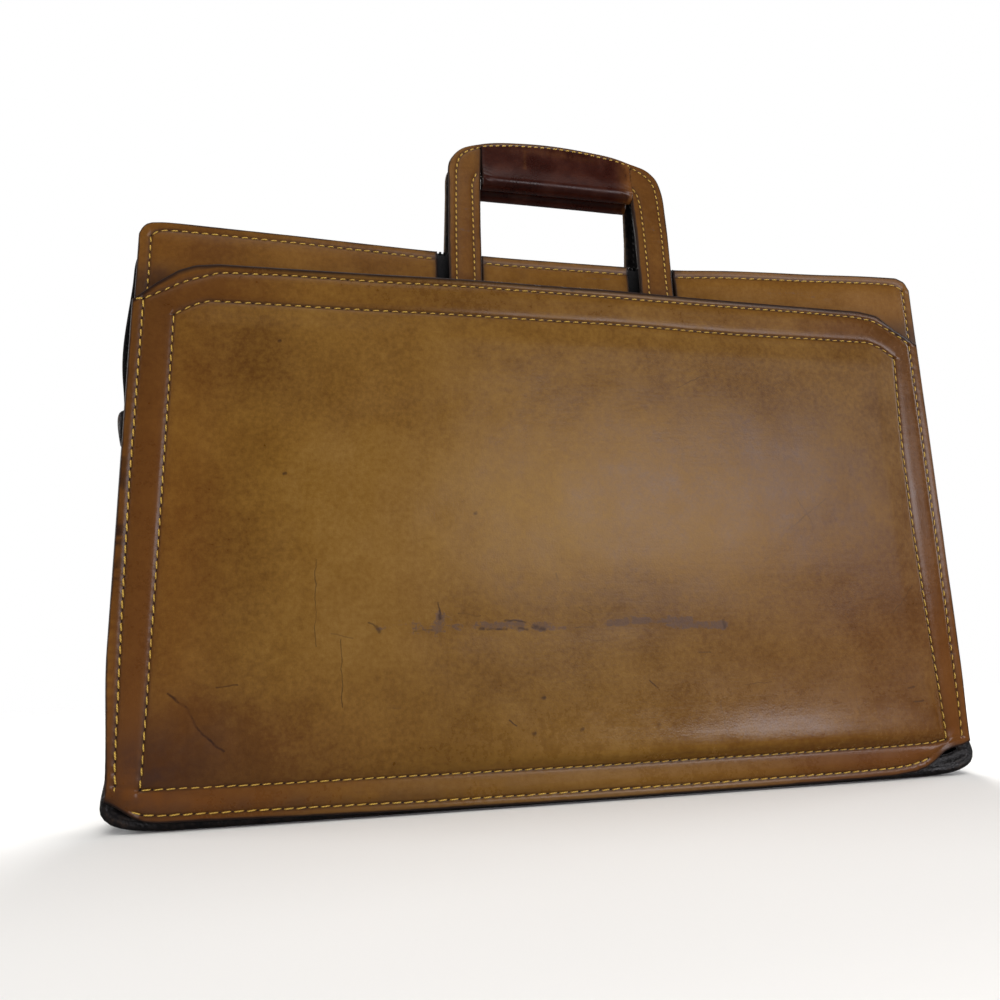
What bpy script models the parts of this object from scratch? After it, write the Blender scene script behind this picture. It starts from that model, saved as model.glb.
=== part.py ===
"""Leather document case: two tall panels with outer slip pockets, a black gusset,
an open zip and two inverted-U handles. Metres, +Z up, front towards -Y,
origin at the middle of the bottom."""
import bpy
import bmesh

MM = 0.001

# ---------------------------------------------------------------- driving sizes (mm)
GAP = 0.3                  # clearance between neighbouring pieces
PANEL_T = 1.8              # tall panel leather
POCKET_T = 2.0             # pocket leather
GUSSET_T = 1.5             # gusset leather
SEAM_Y = 20.0              # outer face of the pocket where it is sewn, from the middle plane
PANEL_Y = SEAM_Y - POCKET_T - GAP          # outer face of the tall panel at its edges
GUSSET_Y = PANEL_Y - PANEL_T - GAP         # outer face of the gusset's flanges
PINCH = 10.0               # how far the handles draw the panel tops together
MOUTH_BULGE = 3.6          # how far the pocket mouth stands open in the middle
FLANGE = 9.0               # gusset flange turned in behind the panel
FOLD = 6.0                 # inward crease of the gusset's sides

PANEL_LEFT, PANEL_RIGHT = -214.2, 219.2
SLOT_FLOOR = 264.4         # bottom of the slots for the handle legs
SLOTS = ((-67.1, -42.4), (42.6, 70.5))     # left and right slot: x from, x to

TAPE_T = 1.0
TAPE_HEIGHT = 18.0
TAIL_T = 1.2
TAIL_HALF_WIDTH = 12.0

STRAP_T = 2.2              # tan layer of a handle
BACKING_T = 1.2            # black layer of a handle
ROLL_R = 4.8               # rolled lower edge of a grip
GRIP_EDGE = 2.4            # half thickness of a grip at its sewn upper edge
GRIP_FLOOR = 327.3         # lowest line of a grip
GRIP_ENDS = (-40.4, 47.5)

# share of the pinch across the width, and up the height
PINCH_ACROSS = (  # x, share
    (-204.0, 0.0), (-149.0, 0.24), (-98.0, 0.56), (-67.0, 0.78), (-20.0, 0.95), (48.0, 1.0),
    (72.0, 0.90), (106.0, 0.55), (155.0, 0.28), (206.0, 0.0))
PINCH_UP = (  # z, share
    (40.0, 0.0), (120.0, 0.16), (200.0, 0.50), (262.0, 0.90), (288.0, 1.0))
# share of the pocket's bulge across and up
BULGE_ACROSS = (  # x, share
    (-205.0, 0.0), (-176.0, 0.10), (-113.0, 0.45), (-45.0, 1.0), (20.0, 1.0),
    (72.0, 0.60), (136.0, 0.25), (180.0, 0.10), (206.0, 0.0))
BULGE_UP = (  # z, share
    (12.0, 0.0), (40.0, 0.5), (130.0, 0.8), (262.0, 1.0))

# outlines of the leather
PANEL_TOP = (  # x, z
    (-214.2, 276.0), (-212.6, 280.6), (-208.4, 282.8), (-149.0, 283.3), (0.0, 284.8),
    (155.0, 286.2), (211.0, 286.7), (216.6, 284.2), (219.2, 278.6))
POCKET_TOP = (  # x, z
    (-214.6, 241.0), (-204.1, 250.6), (-194.5, 257.8), (-186.9, 260.9), (-176.0, 262.2),
    (180.5, 261.8), (192.5, 259.9), (202.1, 252.8), (217.6, 243.6))
LEATHER_BOTTOM = (  # x, z
    (-214.6, 16.0), (-205.5, 12.0), (-195.5, 5.6), (-148.0, 3.7), (-98.0, 2.6), (-18.0, 1.6),
    (60.0, 1.6), (122.0, 1.8), (168.0, 2.5), (188.5, 4.9), (206.5, 12.9), (219.2, 17.5))

# outer line of the gusset, from its top left end round the bottom to its top right end
GUSSET_LINE = (  # x, z, share of the side crease
    (-213.4, 262.0, 0.6), (-213.4, 240.0, 1.0), (-213.4, 150.0, 1.0), (-213.2, 80.0, 1.0),
    (-212.8, 45.0, 0.6), (-212.5, 24.0, 0.0), (-212.3, 14.0, 0.0), (-211.0, 9.0, 0.0),
    (-206.5, 4.8, 0.0), (-198.0, 1.9, 0.0), (-188.0, 0.4, 0.0), (-180.0, 0.0, 0.0),
    (-90.0, 0.0, 0.0), (0.0, 0.0, 0.0), (90.0, 0.0, 0.0), (180.0, 0.0, 0.0),
    (189.0, 0.3, 0.0), (199.0, 1.5, 0.0), (208.0, 3.8, 0.0), (214.6, 7.4, 0.0),
    (216.6, 13.0, 0.0), (216.8, 24.0, 0.0), (216.8, 45.0, 0.6), (216.8, 80.0, 1.0),
    (216.8, 150.0, 1.0), (216.8, 240.0, 1.0), (216.8, 262.0, 0.6))

# zip tail: middle line of the strip, from inside the mouth over the gusset's end
TAIL_LINE = (  # x, z
    (-198.0, 276.5), (-206.0, 275.6), (-212.0, 271.8), (-215.4, 264.5), (-216.6, 252.0),
    (-217.7, 237.0), (-218.2, 220.0), (-218.0, 207.0), (-216.9, 194.0), (-216.4, 188.0))
TAB_OUTLINE = (  # x, z
    (-215.4, 187.4), (-217.4, 187.4), (-219.2, 185.6), (-219.0, 181.0), (-217.8, 175.0),
    (-216.7, 170.0), (-215.2, 170.0))

# handles: paired outer and inner edge points from the left leg's end to the right leg's end
HANDLE_EDGES = (  # outer x, outer z, inner x, inner z
    (-60.6, 214.0, -43.6, 214.0), (-60.8, 240.0, -43.4, 240.0), (-60.9, 266.0, -43.3, 266.0),
    (-60.9, 285.0, -43.0, 285.0), (-60.4, 307.0, -42.6, 307.0), (-60.0, 327.0, -42.0, 327.0),
    (-59.6, 339.9, -41.3, 339.9), (-56.5, 346.3, -41.0, 346.5), (-51.3, 351.0, -40.9, 350.3),
    (-40.9, 354.8, -40.6, 352.2), (-30.6, 356.9, -30.4, 354.3), (-15.0, 358.2, -15.0, 355.6),
    (-2.6, 358.6, -2.6, 356.0), (9.0, 358.3, 9.0, 355.7), (21.3, 357.4, 21.3, 354.8),
    (36.8, 355.6, 36.6, 353.0), (47.4, 352.7, 47.9, 350.2), (57.5, 349.5, 48.1, 346.4),
    (62.6, 345.7, 48.1, 343.0), (65.6, 341.0, 48.0, 339.0), (67.5, 332.4, 47.9, 331.3),
    (67.8, 318.0, 48.1, 318.0), (67.9, 307.0, 48.3, 307.0), (67.6, 290.8, 48.1, 290.8),
    (67.2, 274.6, 47.8, 274.6), (66.8, 262.0, 47.7, 262.0), (66.5, 240.0, 47.6, 240.0),
    (66.4, 214.0, 47.6, 214.0))
STRAP_LEAN = (  # z, distance of the handle's middle layer from the middle plane
    (212.0, 15.4), (264.0, 12.3), (336.0, 5.6), (360.0, 5.0))

# station spacing of the leather sheets
STATIONS = (-214.6, -210.0, -204.1, -194.5, -186.9, -176.0, -150.0, -124.0, -98.0, -82.0, -67.1,
            -55.0, -42.4, -20.0, 0.0, 20.0, 42.6, 56.0, 70.5, 88.0, 106.0, 130.0, 155.0, 180.5,
            192.5, 202.1, 211.0, 217.6)
PANEL_ROWS = (0.0, 0.06, 0.15, 0.32, 0.50, 0.66, 0.80, 0.91, 1.0)   # share of bottom to slot floor
POCKET_ROWS = (0.0, 0.05, 0.12, 0.26, 0.42, 0.58, 0.74, 0.88, 1.0)  # share of bottom to mouth


# ---------------------------------------------------------------- helpers
def linear(table, t):
    """Value of a two-column table at t, straight between its rows."""
    if t <= table[0][0]:
        return table[0][1]
    for (a, va), (b, vb) in zip(table, table[1:]):
        if t <= b:
            return va + (vb - va) * (t - a) / (b - a)
    return table[-1][1]


def eased(table, t):
    """Value of a two-column table at t on a monotone curve, flat outside its rows."""
    if t <= table[0][0]:
        return table[0][1]
    if t >= table[-1][0]:
        return table[-1][1]
    n = len(table)
    step = [table[i + 1][0] - table[i][0] for i in range(n - 1)]
    rise = [(table[i + 1][1] - table[i][1]) / step[i] for i in range(n - 1)]
    slope = [0.0] * n
    for i in range(1, n - 1):
        if rise[i - 1] * rise[i] > 0.0:
            slope[i] = 2.0 * rise[i - 1] * rise[i] / (rise[i - 1] + rise[i])
    k = max(i for i in range(n - 1) if table[i][0] <= t)
    s = (t - table[k][0]) / step[k]
    h00 = (1 + 2 * s) * (1 - s) ** 2
    h01 = s * s * (3 - 2 * s)
    h10 = s * (1 - s) ** 2
    h11 = s * s * (s - 1)
    return (h00 * table[k][1] + h10 * step[k] * slope[k]
            + h01 * table[k + 1][1] + h11 * step[k] * slope[k + 1])


def pinch(x, z):
    return PINCH * eased(PINCH_ACROSS, x) * eased(PINCH_UP, z)


def bulge(x, z):
    return MOUTH_BULGE * eased(BULGE_ACROSS, x) * eased(BULGE_UP, z)


def panel_outer(x, z):
    """Distance of the tall panel's outer face from the middle plane."""
    return PANEL_Y - pinch(x, z)


def pocket_outer(x, z):
    return SEAM_Y + bulge(x, z)


def material(name, color, roughness):
    mat = bpy.data.materials.new(name)
    mat.use_nodes = True
    shader = mat.node_tree.nodes["Principled BSDF"]
    shader.inputs["Base Color"].default_value = (*color, 1.0)
    shader.inputs["Roughness"].default_value = roughness
    shader.inputs["Metallic"].default_value = 0.0
    mat.diffuse_color = (*color, 1.0)
    return mat


def make(name, points, faces, mat, smooth=False):
    """Object from points in mm, with its faces turned outwards."""
    bm = bmesh.new()
    verts = [bm.verts.new((x * MM, y * MM, z * MM)) for x, y, z in points]
    for face in faces:
        bm.faces.new([verts[i] for i in face])
    bmesh.ops.recalc_face_normals(bm, faces=bm.faces)
    mesh = bpy.data.meshes.new(name)
    bm.to_mesh(mesh)
    bm.free()
    mesh.materials.append(mat)
    if smooth:
        mesh.shade_smooth()
        mesh.set_sharp_from_angle(angle=0.7)
    obj = bpy.data.objects.new(name, mesh)
    bpy.context.scene.collection.objects.link(obj)
    obj.parent = ROOT
    return obj


def sheet(name, side, grid, kept, outer, thickness, mat):
    """Leather sheet: a grid of (x, z) points, the cells that are kept, an outer face
    at outer(x, z) from the middle plane and an inner face one thickness nearer."""
    index, points = {}, []

    def vertex(i, j, layer):
        key = (i, j, layer)
        if key not in index:
            x, z = grid[i][j]
            y = outer(x, z) - layer * thickness
            index[key] = len(points)
            points.append((x, side * y, z))
        return index[key]

    faces, edges = [], {}
    for i, j in kept:
        ring = ((i, j), (i + 1, j), (i + 1, j + 1), (i, j + 1))
        faces.append([vertex(a, b, 0) for a, b in ring])
        faces.append([vertex(a, b, 1) for a, b in reversed(ring)])
        for p, q in zip(ring, ring[1:] + ring[:1]):
            if (q, p) in edges:
                del edges[(q, p)]
            else:
                edges[(p, q)] = True
    for (p, q) in edges:
        faces.append([vertex(*p, 0), vertex(*p, 1), vertex(*q, 1), vertex(*q, 0)])
    return make(name, points, faces, mat, smooth=True)


def closed_sweep(name, sections, mat, smooth=True):
    """Solid through a row of equal closed sections, with flat ends."""
    count = len(sections[0])
    points = [p for section in sections for p in section]
    faces = []
    for s in range(len(sections) - 1):
        a, b = s * count, (s + 1) * count
        for k in range(count):
            m = (k + 1) % count
            faces.append([a + k, a + m, b + m, b + k])
    last = (len(sections) - 1) * count
    faces.append(list(range(count)))
    faces.append([last + k for k in reversed(range(count))])
    return make(name, points, faces, mat, smooth)


def normals_2d(line):
    """Unit normals (to the left of travel) at the points of an (x, z) line."""
    out = []
    for i in range(len(line)):
        ax, az = line[max(i - 1, 0)][:2]
        bx, bz = line[min(i + 1, len(line) - 1)][:2]
        dx, dz = bx - ax, bz - az
        d = (dx * dx + dz * dz) ** 0.5
        out.append((-dz / d, dx / d))
    return out


# ---------------------------------------------------------------- pieces
def tall_panel(name, side, mat):
    """Tall panel: one grid up to the slots' floor, then three tabs up to the top edge."""
    xs = [PANEL_LEFT] + [x for x in STATIONS if PANEL_LEFT < x < 217.0] + [216.6, PANEL_RIGHT]
    grid = []
    for x in xs:
        low = linear(LEATHER_BOTTOM, x)
        high = linear(PANEL_TOP, x)
        column = [(x, low + (SLOT_FLOOR - low) * v) for v in PANEL_ROWS]
        column += [(x, SLOT_FLOOR + (high - SLOT_FLOOR) * v) for v in (0.5, 1.0)]
        grid.append(column)
    kept = []
    for i in range(len(xs) - 1):
        middle = 0.5 * (xs[i] + xs[i + 1])
        in_slot = any(a < middle < b for a, b in SLOTS)
        for j in range(len(grid[0]) - 1):
            if in_slot and j >= len(PANEL_ROWS) - 1:
                continue
            kept.append((i, j))
    return sheet(name, side, grid, kept, panel_outer, PANEL_T, mat)


def slip_pocket(name, side, mat):
    grid = []
    for x in STATIONS:
        low = linear(LEATHER_BOTTOM, x)
        high = linear(POCKET_TOP, x)
        grid.append([(x, low + (high - low) * v) for v in POCKET_ROWS])
    kept = [(i, j) for i in range(len(STATIONS) - 1) for j in range(len(POCKET_ROWS) - 1)]
    return sheet(name, side, grid, kept, pocket_outer, POCKET_T, mat)


def gusset(name, mat):
    """Channel: web outside, a flange turned in behind each panel, swept round the case."""
    sections = []
    for (x, z, crease), (nx, nz) in zip(GUSSET_LINE, normals_2d(GUSSET_LINE)):
        fold = FOLD * crease
        w, t = GUSSET_Y, GUSSET_T
        profile = (  # y, depth inwards
            (-w, FLANGE), (-w, 0.0), (-w / 2, fold / 2), (0.0, fold), (w / 2, fold / 2), (w, 0.0),
            (w, FLANGE), (w - t, FLANGE), (w - t, t), (w / 2, fold / 2 + t), (0.0, fold + t),
            (-w / 2, fold / 2 + t), (-w + t, t), (-w + t, FLANGE))
        sections.append([(x + nx * n, y, z + nz * n) for y, n in profile])
    return closed_sweep(name, sections, mat, smooth=False)


def zip_tape(name, side, mat):
    """Tape sewn behind the tall panel's top edge, its free edge leaning into the mouth."""
    xs = [-200.5] + [x for x in STATIONS if -198.0 < x < 204.0] + [204.0]
    sections = []
    for x in xs:
        top = linear(PANEL_TOP, x) - 2.2
        rows = ((top - TAPE_HEIGHT, 0.0), (top - 5.0, 0.0), (top - 2.0, 0.7), (top, 1.5))
        loop = []
        for z, lean in rows:
            inner_face = panel_outer(x, z) - PANEL_T - GAP
            loop.append((x, side * (inner_face - lean), z))
        for z, lean in reversed(rows):
            inner_face = panel_outer(x, z) - PANEL_T - GAP
            loop.append((x, side * (inner_face - lean - TAPE_T), z))
        sections.append(loop)
    return closed_sweep(name, sections, mat)


def zip_tail(name, mat):
    sections = []
    for (x, z), (nx, nz) in zip(TAIL_LINE, normals_2d(TAIL_LINE)):
        h, w = TAIL_T / 2, TAIL_HALF_WIDTH
        sections.append([(x - nx * h, -w, z - nz * h), (x + nx * h, -w, z + nz * h),
                         (x + nx * h, w, z + nz * h), (x - nx * h, w, z - nz * h)])
    return closed_sweep(name, sections, mat)


def zip_end_tab(name, mat):
    sections = [[(x, y, z) for x, z in TAB_OUTLINE] for y in (-TAIL_HALF_WIDTH, TAIL_HALF_WIDTH)]
    return closed_sweep(name, sections, mat, smooth=False)


def handle_layer(name, side, front, back, mat):
    """One layer of a handle, between two offsets from its middle layer (outwards positive)."""
    sections = []
    for ox, oz, ix, iz in HANDLE_EDGES:
        yo, yi = linear(STRAP_LEAN, oz), linear(STRAP_LEAN, iz)
        sections.append([(ox, side * (yo + front), oz), (ix, side * (yi + front), iz),
                         (ix, side * (yi + back), iz), (ox, side * (yo + back), oz)])
    return closed_sweep(name, sections, mat, smooth=False)


def grip(name, side, mat):
    """Leather folded round a core: rolled below, thin where its upper edges are sewn."""
    arch = [(ix, iz) for ox, oz, ix, iz in HANDLE_EDGES[9:17]]
    left, right = GRIP_ENDS
    xs = [left] + [ix for ix, iz in arch if left + 2 < ix < right - 2] + [right]
    roll_z = GRIP_FLOOR + ROLL_R
    sections = []
    for x in xs:
        top = linear(arch, x) - 0.4
        half = (  # z, half thickness, upwards along one face
            (GRIP_FLOOR, 0.9), (GRIP_FLOOR + 1.2, 3.1), (roll_z - 1.2, 4.6), (roll_z + 1.6, 4.6),
            (roll_z + 5.0, 3.7), (roll_z + 10.0, 2.9), (top, GRIP_EDGE))
        loop = [(x, side * (5.4 + t), z) for z, t in half]
        loop += [(x, side * (5.4 - t), z) for z, t in reversed(half)]
        sections.append(loop)
    return closed_sweep(name, sections, mat)


for old in list(bpy.data.objects):
    bpy.data.objects.remove(old, do_unlink=True)

ROOT = bpy.data.objects.new("case", None)
bpy.context.scene.collection.objects.link(ROOT)

TAN = material("tan_leather", (0.24, 0.11, 0.03), 0.42)
POCKET_TAN = material("pocket_leather", (0.22, 0.11, 0.028), 0.38)
BLACK = material("black_leather", (0.012, 0.011, 0.013), 0.45)
WEAVE = material("zip_weave", (0.010, 0.010, 0.014), 0.75)
GRIP_RED = material("grip_leather", (0.075, 0.014, 0.008), 0.32)

for label, side in (("front", -1.0), ("rear", 1.0)):
    tall_panel(label + "_panel", side, TAN)
    slip_pocket(label + "_pocket", side, POCKET_TAN)
    zip_tape("zip_tape_" + label, side, WEAVE)
    front = (STRAP_T + GAP + BACKING_T) / 2
    handle_layer(label + "_handle", side, front, front - STRAP_T, TAN)
    handle_layer(label + "_handle_backing", side, BACKING_T - front, -front, BLACK)
    grip(label + "_grip", side, GRIP_RED)
gusset("gusset", BLACK)
zip_tail("zip_tail", WEAVE)
zip_end_tab("zip_end_tab", BLACK)
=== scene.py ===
"""Looks of the leather document case: leather sheets with rounded, burnished edges and
sunk seams, real stitches, a creased gusset, zip, strap handles with rolled grips."""
import math

import bpy
import numpy as np
from mathutils import Matrix, Vector
from mathutils.kdtree import KDTree


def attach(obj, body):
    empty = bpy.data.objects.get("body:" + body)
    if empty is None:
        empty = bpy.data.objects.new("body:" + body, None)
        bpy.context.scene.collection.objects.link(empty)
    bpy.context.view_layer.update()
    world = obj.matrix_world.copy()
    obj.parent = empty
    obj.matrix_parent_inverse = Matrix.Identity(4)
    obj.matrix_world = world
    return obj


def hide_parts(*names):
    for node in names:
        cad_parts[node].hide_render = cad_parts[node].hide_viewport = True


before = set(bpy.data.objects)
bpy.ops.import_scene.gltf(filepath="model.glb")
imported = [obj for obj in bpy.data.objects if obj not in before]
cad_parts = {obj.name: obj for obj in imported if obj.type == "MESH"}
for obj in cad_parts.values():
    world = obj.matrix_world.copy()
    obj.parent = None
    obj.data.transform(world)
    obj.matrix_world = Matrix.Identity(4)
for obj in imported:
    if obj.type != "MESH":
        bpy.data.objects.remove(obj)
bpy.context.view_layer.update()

MM = 0.001

# ------------------------------------------------------------------ sizes, as in the frame (mm)
GAP, PANEL_T, POCKET_T, GUSSET_T = 0.3, 1.8, 2.0, 1.5
SEAM_Y = 20.0
PANEL_Y = SEAM_Y - POCKET_T - GAP
GUSSET_Y = PANEL_Y - PANEL_T - GAP
PINCH, MOUTH_BULGE, FLANGE, FOLD = 10.0, 3.6, 9.0, 6.0
PANEL_LEFT, PANEL_RIGHT, SLOT_FLOOR = -214.2, 219.2, 264.4
POCKET_LEFT, POCKET_RIGHT = -214.6, 217.6
SLOTS = ((-67.1, -42.4), (42.6, 70.5))
STRAP_T, BACKING_T = 2.2, 1.2
GRIP_FLOOR, GRIP_Y = 327.3, 5.4
GRIP_ENDS = (-40.4, 47.5)
TAPE_T, TAPE_HEIGHT, TAIL_T, TAIL_HALF_WIDTH = 1.0, 18.0, 1.2, 12.0

PINCH_ACROSS = ((-204.0, 0.0), (-149.0, 0.24), (-98.0, 0.56), (-67.0, 0.78), (-20.0, 0.95), (48.0, 1.0),
                (72.0, 0.90), (106.0, 0.55), (155.0, 0.28), (206.0, 0.0))
PINCH_UP = ((40.0, 0.0), (120.0, 0.16), (200.0, 0.50), (262.0, 0.90), (288.0, 1.0))
BULGE_ACROSS = ((-205.0, 0.0), (-176.0, 0.10), (-113.0, 0.45), (-45.0, 1.0), (20.0, 1.0),
                (72.0, 0.60), (136.0, 0.25), (180.0, 0.10), (206.0, 0.0))
BULGE_UP = ((12.0, 0.0), (40.0, 0.5), (130.0, 0.8), (262.0, 1.0))
PANEL_TOP = ((-214.2, 275.2), (-213.8, 277.8), (-212.7, 280.2), (-210.9, 282.1), (-208.2, 283.1), (-203.0, 283.5), (-149.0, 283.5), (0.0, 284.8),
             (155.0, 286.2), (211.0, 286.7), (216.6, 284.2), (219.2, 278.6))
POCKET_TOP = ((-214.6, 241.0), (-204.1, 250.6), (-194.5, 257.8), (-186.9, 260.9), (-176.0, 262.2),
              (180.5, 261.8), (192.5, 259.9), (202.1, 252.8), (217.6, 243.6))
LEATHER_BOTTOM = ((-214.6, 15.2), (-209.5, 13.6), (-205.5, 11.2), (-200.0, 7.2), (-195.5, 5.2), (-190.0, 4.4), (-148.0, 3.5),
                  (-98.0, 2.5), (-18.0, 1.6), (60.0, 1.6), (122.0, 1.8), (168.0, 2.6), (182.0, 3.9), (189.0, 6.0),
                  (194.5, 9.6), (199.0, 13.2), (204.0, 14.9), (211.0, 15.8), (219.2, 18.4))
GUSSET_LINE = ((-213.4, 262.0, 0.6), (-213.4, 240.0, 1.0), (-213.4, 150.0, 1.0), (-213.2, 80.0, 1.0),
               (-212.8, 45.0, 0.6), (-213.0, 24.0, 0.0), (-214.0, 14.0, 0.0), (-213.4, 8.6, 0.0),
               (-209.0, 4.4, 0.0), (-200.0, 1.6, 0.0), (-189.0, 0.3, 0.0), (-180.0, 0.0, 0.0),
               (-90.0, 0.0, 0.0), (0.0, 0.0, 0.0), (90.0, 0.0, 0.0), (180.0, 0.0, 0.0),
               (189.0, 0.2, 0.0), (200.0, 1.0, 0.0), (210.0, 2.8, 0.0), (218.2, 6.2, 0.0),
               (221.0, 11.5, 0.0), (219.6, 19.0, 0.0), (217.4, 32.0, 0.3), (216.8, 80.0, 1.0),
               (216.8, 150.0, 1.0), (216.8, 240.0, 1.0), (216.8, 262.0, 0.6))
TAIL_LINE = ((-198.0, 276.5), (-206.0, 275.6), (-212.0, 271.8), (-215.4, 264.5), (-216.6, 252.0),
             (-217.7, 237.0), (-218.2, 220.0), (-218.0, 207.0), (-216.9, 194.0), (-216.4, 188.0))
HANDLE_EDGES = (
    (-60.6, 214.0, -43.6, 214.0), (-60.8, 240.0, -43.4, 240.0), (-60.9, 266.0, -43.3, 266.0),
    (-60.9, 285.0, -43.0, 285.0), (-60.4, 307.0, -42.6, 307.0), (-60.0, 327.0, -42.0, 327.0),
    (-59.6, 339.9, -41.3, 339.9), (-56.5, 346.3, -41.0, 346.5), (-51.3, 351.0, -40.9, 350.3),
    (-40.9, 354.8, -40.6, 352.2), (-30.6, 356.9, -30.4, 354.3), (-15.0, 358.2, -15.0, 355.6),
    (-2.6, 358.6, -2.6, 356.0), (9.0, 358.3, 9.0, 355.7), (21.3, 357.4, 21.3, 354.8),
    (36.8, 355.6, 36.6, 353.0), (47.4, 352.7, 47.9, 350.2), (57.5, 349.5, 48.1, 346.4),
    (62.6, 345.7, 48.1, 343.0), (65.6, 341.0, 48.0, 339.0), (67.5, 332.4, 47.9, 331.3),
    (67.8, 318.0, 48.1, 318.0), (67.9, 307.0, 48.3, 307.0), (67.6, 290.8, 48.1, 290.8),
    (67.2, 274.6, 47.8, 274.6), (66.8, 262.0, 47.7, 262.0), (66.5, 240.0, 47.6, 240.0),
    (66.4, 214.0, 47.6, 214.0))
STRAP_LEAN = ((212.0, 15.4), (264.0, 12.3), (336.0, 5.6), (360.0, 5.0))

# seam lines on the pocket: outer and inner, as positions across at a height and heights at a position
OUTER_LEFT = ((18.0, -207.3), (33.0, -208.2), (90.0, -209.4), (152.0, -210.1), (240.0, -209.5))
OUTER_RIGHT = ((16.0, 211.4), (30.0, 212.3), (120.0, 212.8), (243.0, 212.1))
OUTER_BOTTOM = ((-214.6, 17.6), (-207.0, 14.6), (-202.5, 10.9), (-196.0, 8.0), (-190.0, 7.4), (-113.5, 6.5), (-69.5, 5.8),
                (1.5, 5.5), (73.5, 5.5), (136.5, 5.8), (168.0, 6.4), (180.0, 7.6), (189.0, 9.8), (195.0, 13.2),
                (201.0, 16.6), (211.0, 18.6), (217.6, 20.2))
OUTER_TOP = ((-214.6, 238.4), (-209.5, 241.9), (-204.1, 244.6), (-191.5, 252.0), (-176.0, 257.6), (-144.5, 258.4),
             (-98.5, 257.9), (-44.5, 258.0), (42.5, 257.7), (136.5, 258.4), (176.0, 258.0), (189.5, 256.6),
             (199.0, 251.6), (208.4, 246.2), (212.1, 243.0), (217.6, 239.5))
INNER_LEFT = ((16.0, -197.6), (25.0, -197.3), (120.0, -196.3), (234.0, -195.5))
INNER_RIGHT = ((18.0, 201.2), (24.0, 202.1), (43.0, 201.5), (80.0, 199.9), (130.0, 198.4), (180.0, 198.2),
               (234.0, 200.6))
INNER_BOTTOM = ((-214.6, 20.8), (-205.0, 18.9), (-196.0, 18.1), (-144.5, 17.5), (1.5, 16.8), (167.5, 17.2), (190.0, 17.8),
                (201.0, 19.0), (210.0, 21.4), (217.6, 23.0))
INNER_TOP = ((-214.6, 229.0), (-195.5, 234.4), (-189.0, 238.8), (-180.4, 242.6), (-48.5, 242.0), (45.0, 242.2),
             (98.5, 241.8), (150.0, 242.5), (184.0, 242.6), (192.5, 239.7), (200.5, 233.9), (217.6, 228.0))
PANEL_SEAM = ((-214.2, 275.0), (-208.6, 275.6), (-207.2, 278.0), (-203.5, 279.3), (-161.0, 279.5), (-99.0, 279.9),
              (-70.0, 279.8), (0.0, 280.2), (65.0, 280.8), (100.0, 281.3), (136.0, 281.5), (172.0, 282.0),
              (206.0, 282.2), (211.0, 281.5), (214.4, 278.8), (219.2, 276.0))
HANDLE_SEAM = (
    (-57.4, 216.0), (-57.3, 240.0), (-57.1, 266.1), (-56.7, 290.0), (-56.3, 307.1), (-55.8, 325.0), (-55.2, 337.8),
    (-54.2, 342.8), (-52.4, 346.3), (-48.2, 349.6), (-40.9, 352.3), (-25.4, 354.6), (-4.6, 355.9), (16.1, 355.4),
    (36.8, 352.6), (47.1, 350.3), (55.4, 346.3), (60.5, 342.0), (63.0, 336.0), (63.7, 318.0), (63.9, 307.1),
    (63.6, 290.0), (63.2, 269.3), (63.0, 240.0), (62.8, 216.0))
LEG_SEAM_LEFT = ((-47.4, 216.0), (-47.4, 266.1), (-47.0, 307.1), (-46.8, 326.8), (-45.9, 331.3), (-43.7, 335.7))
LEG_SEAM_RIGHT = ((52.2, 216.0), (52.3, 266.1), (52.9, 285.4), (53.0, 307.1), (52.6, 323.5), (51.4, 331.3),
                  (48.9, 336.2))


# ------------------------------------------------------------------ numbers
def left_edge(z, at):
    return at + 3.1 * ramp(78.0, 17.0, z)


def right_edge(z, at):
    return at - 0.9 * ramp(60.0, 19.0, z)


def linear(table, t):
    rows = np.array(table, float)
    return np.interp(t, rows[:, 0], rows[:, 1])


def eased(table, t):
    """Monotone curve through a two-column table, flat outside its rows."""
    rows = np.array(table, float)
    xs, ys = rows[:, 0], rows[:, 1]
    step = np.diff(xs)
    rise = np.diff(ys) / step
    slope = np.zeros(len(xs))
    for i in range(1, len(xs) - 1):
        if rise[i - 1] * rise[i] > 0.0:
            slope[i] = 2.0 * rise[i - 1] * rise[i] / (rise[i - 1] + rise[i])
    t = np.clip(np.asarray(t, float), xs[0], xs[-1])
    k = np.clip(np.searchsorted(xs, t, side="right") - 1, 0, len(xs) - 2)
    s = (t - xs[k]) / step[k]
    h00, h01 = (1 + 2 * s) * (1 - s) ** 2, s * s * (3 - 2 * s)
    h10, h11 = s * (1 - s) ** 2, s * s * (s - 1)
    return h00 * ys[k] + h10 * step[k] * slope[k] + h01 * ys[k + 1] + h11 * step[k] * slope[k + 1]


def ramp(a, b, t):
    """0 at a, 1 at b, smooth between."""
    s = np.clip((np.asarray(t, float) - a) / (b - a), 0.0, 1.0)
    return s * s * (3 - 2 * s)


LATTICE = np.random.RandomState(7).uniform(-1.0, 1.0, (8, 256, 256))


def noise(x, z, size, seed):
    """Smooth noise from -1 to 1 over a plane in mm, with bumps of the given size."""
    grid = LATTICE[seed % 8]
    u = np.asarray(x, float) / size + 17.3 * seed
    v = np.asarray(z, float) / size + 9.1 * seed
    i, j = np.floor(u).astype(int), np.floor(v).astype(int)
    fu, fv = u - i, v - j
    fu = fu * fu * fu * (fu * (fu * 6 - 15) + 10)
    fv = fv * fv * fv * (fv * (fv * 6 - 15) + 10)
    a, b = grid[i % 256, j % 256], grid[(i + 1) % 256, j % 256]
    c, d = grid[i % 256, (j + 1) % 256], grid[(i + 1) % 256, (j + 1) % 256]
    return (a * (1 - fu) + b * fu) * (1 - fv) + (c * (1 - fu) + d * fu) * fv


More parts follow.
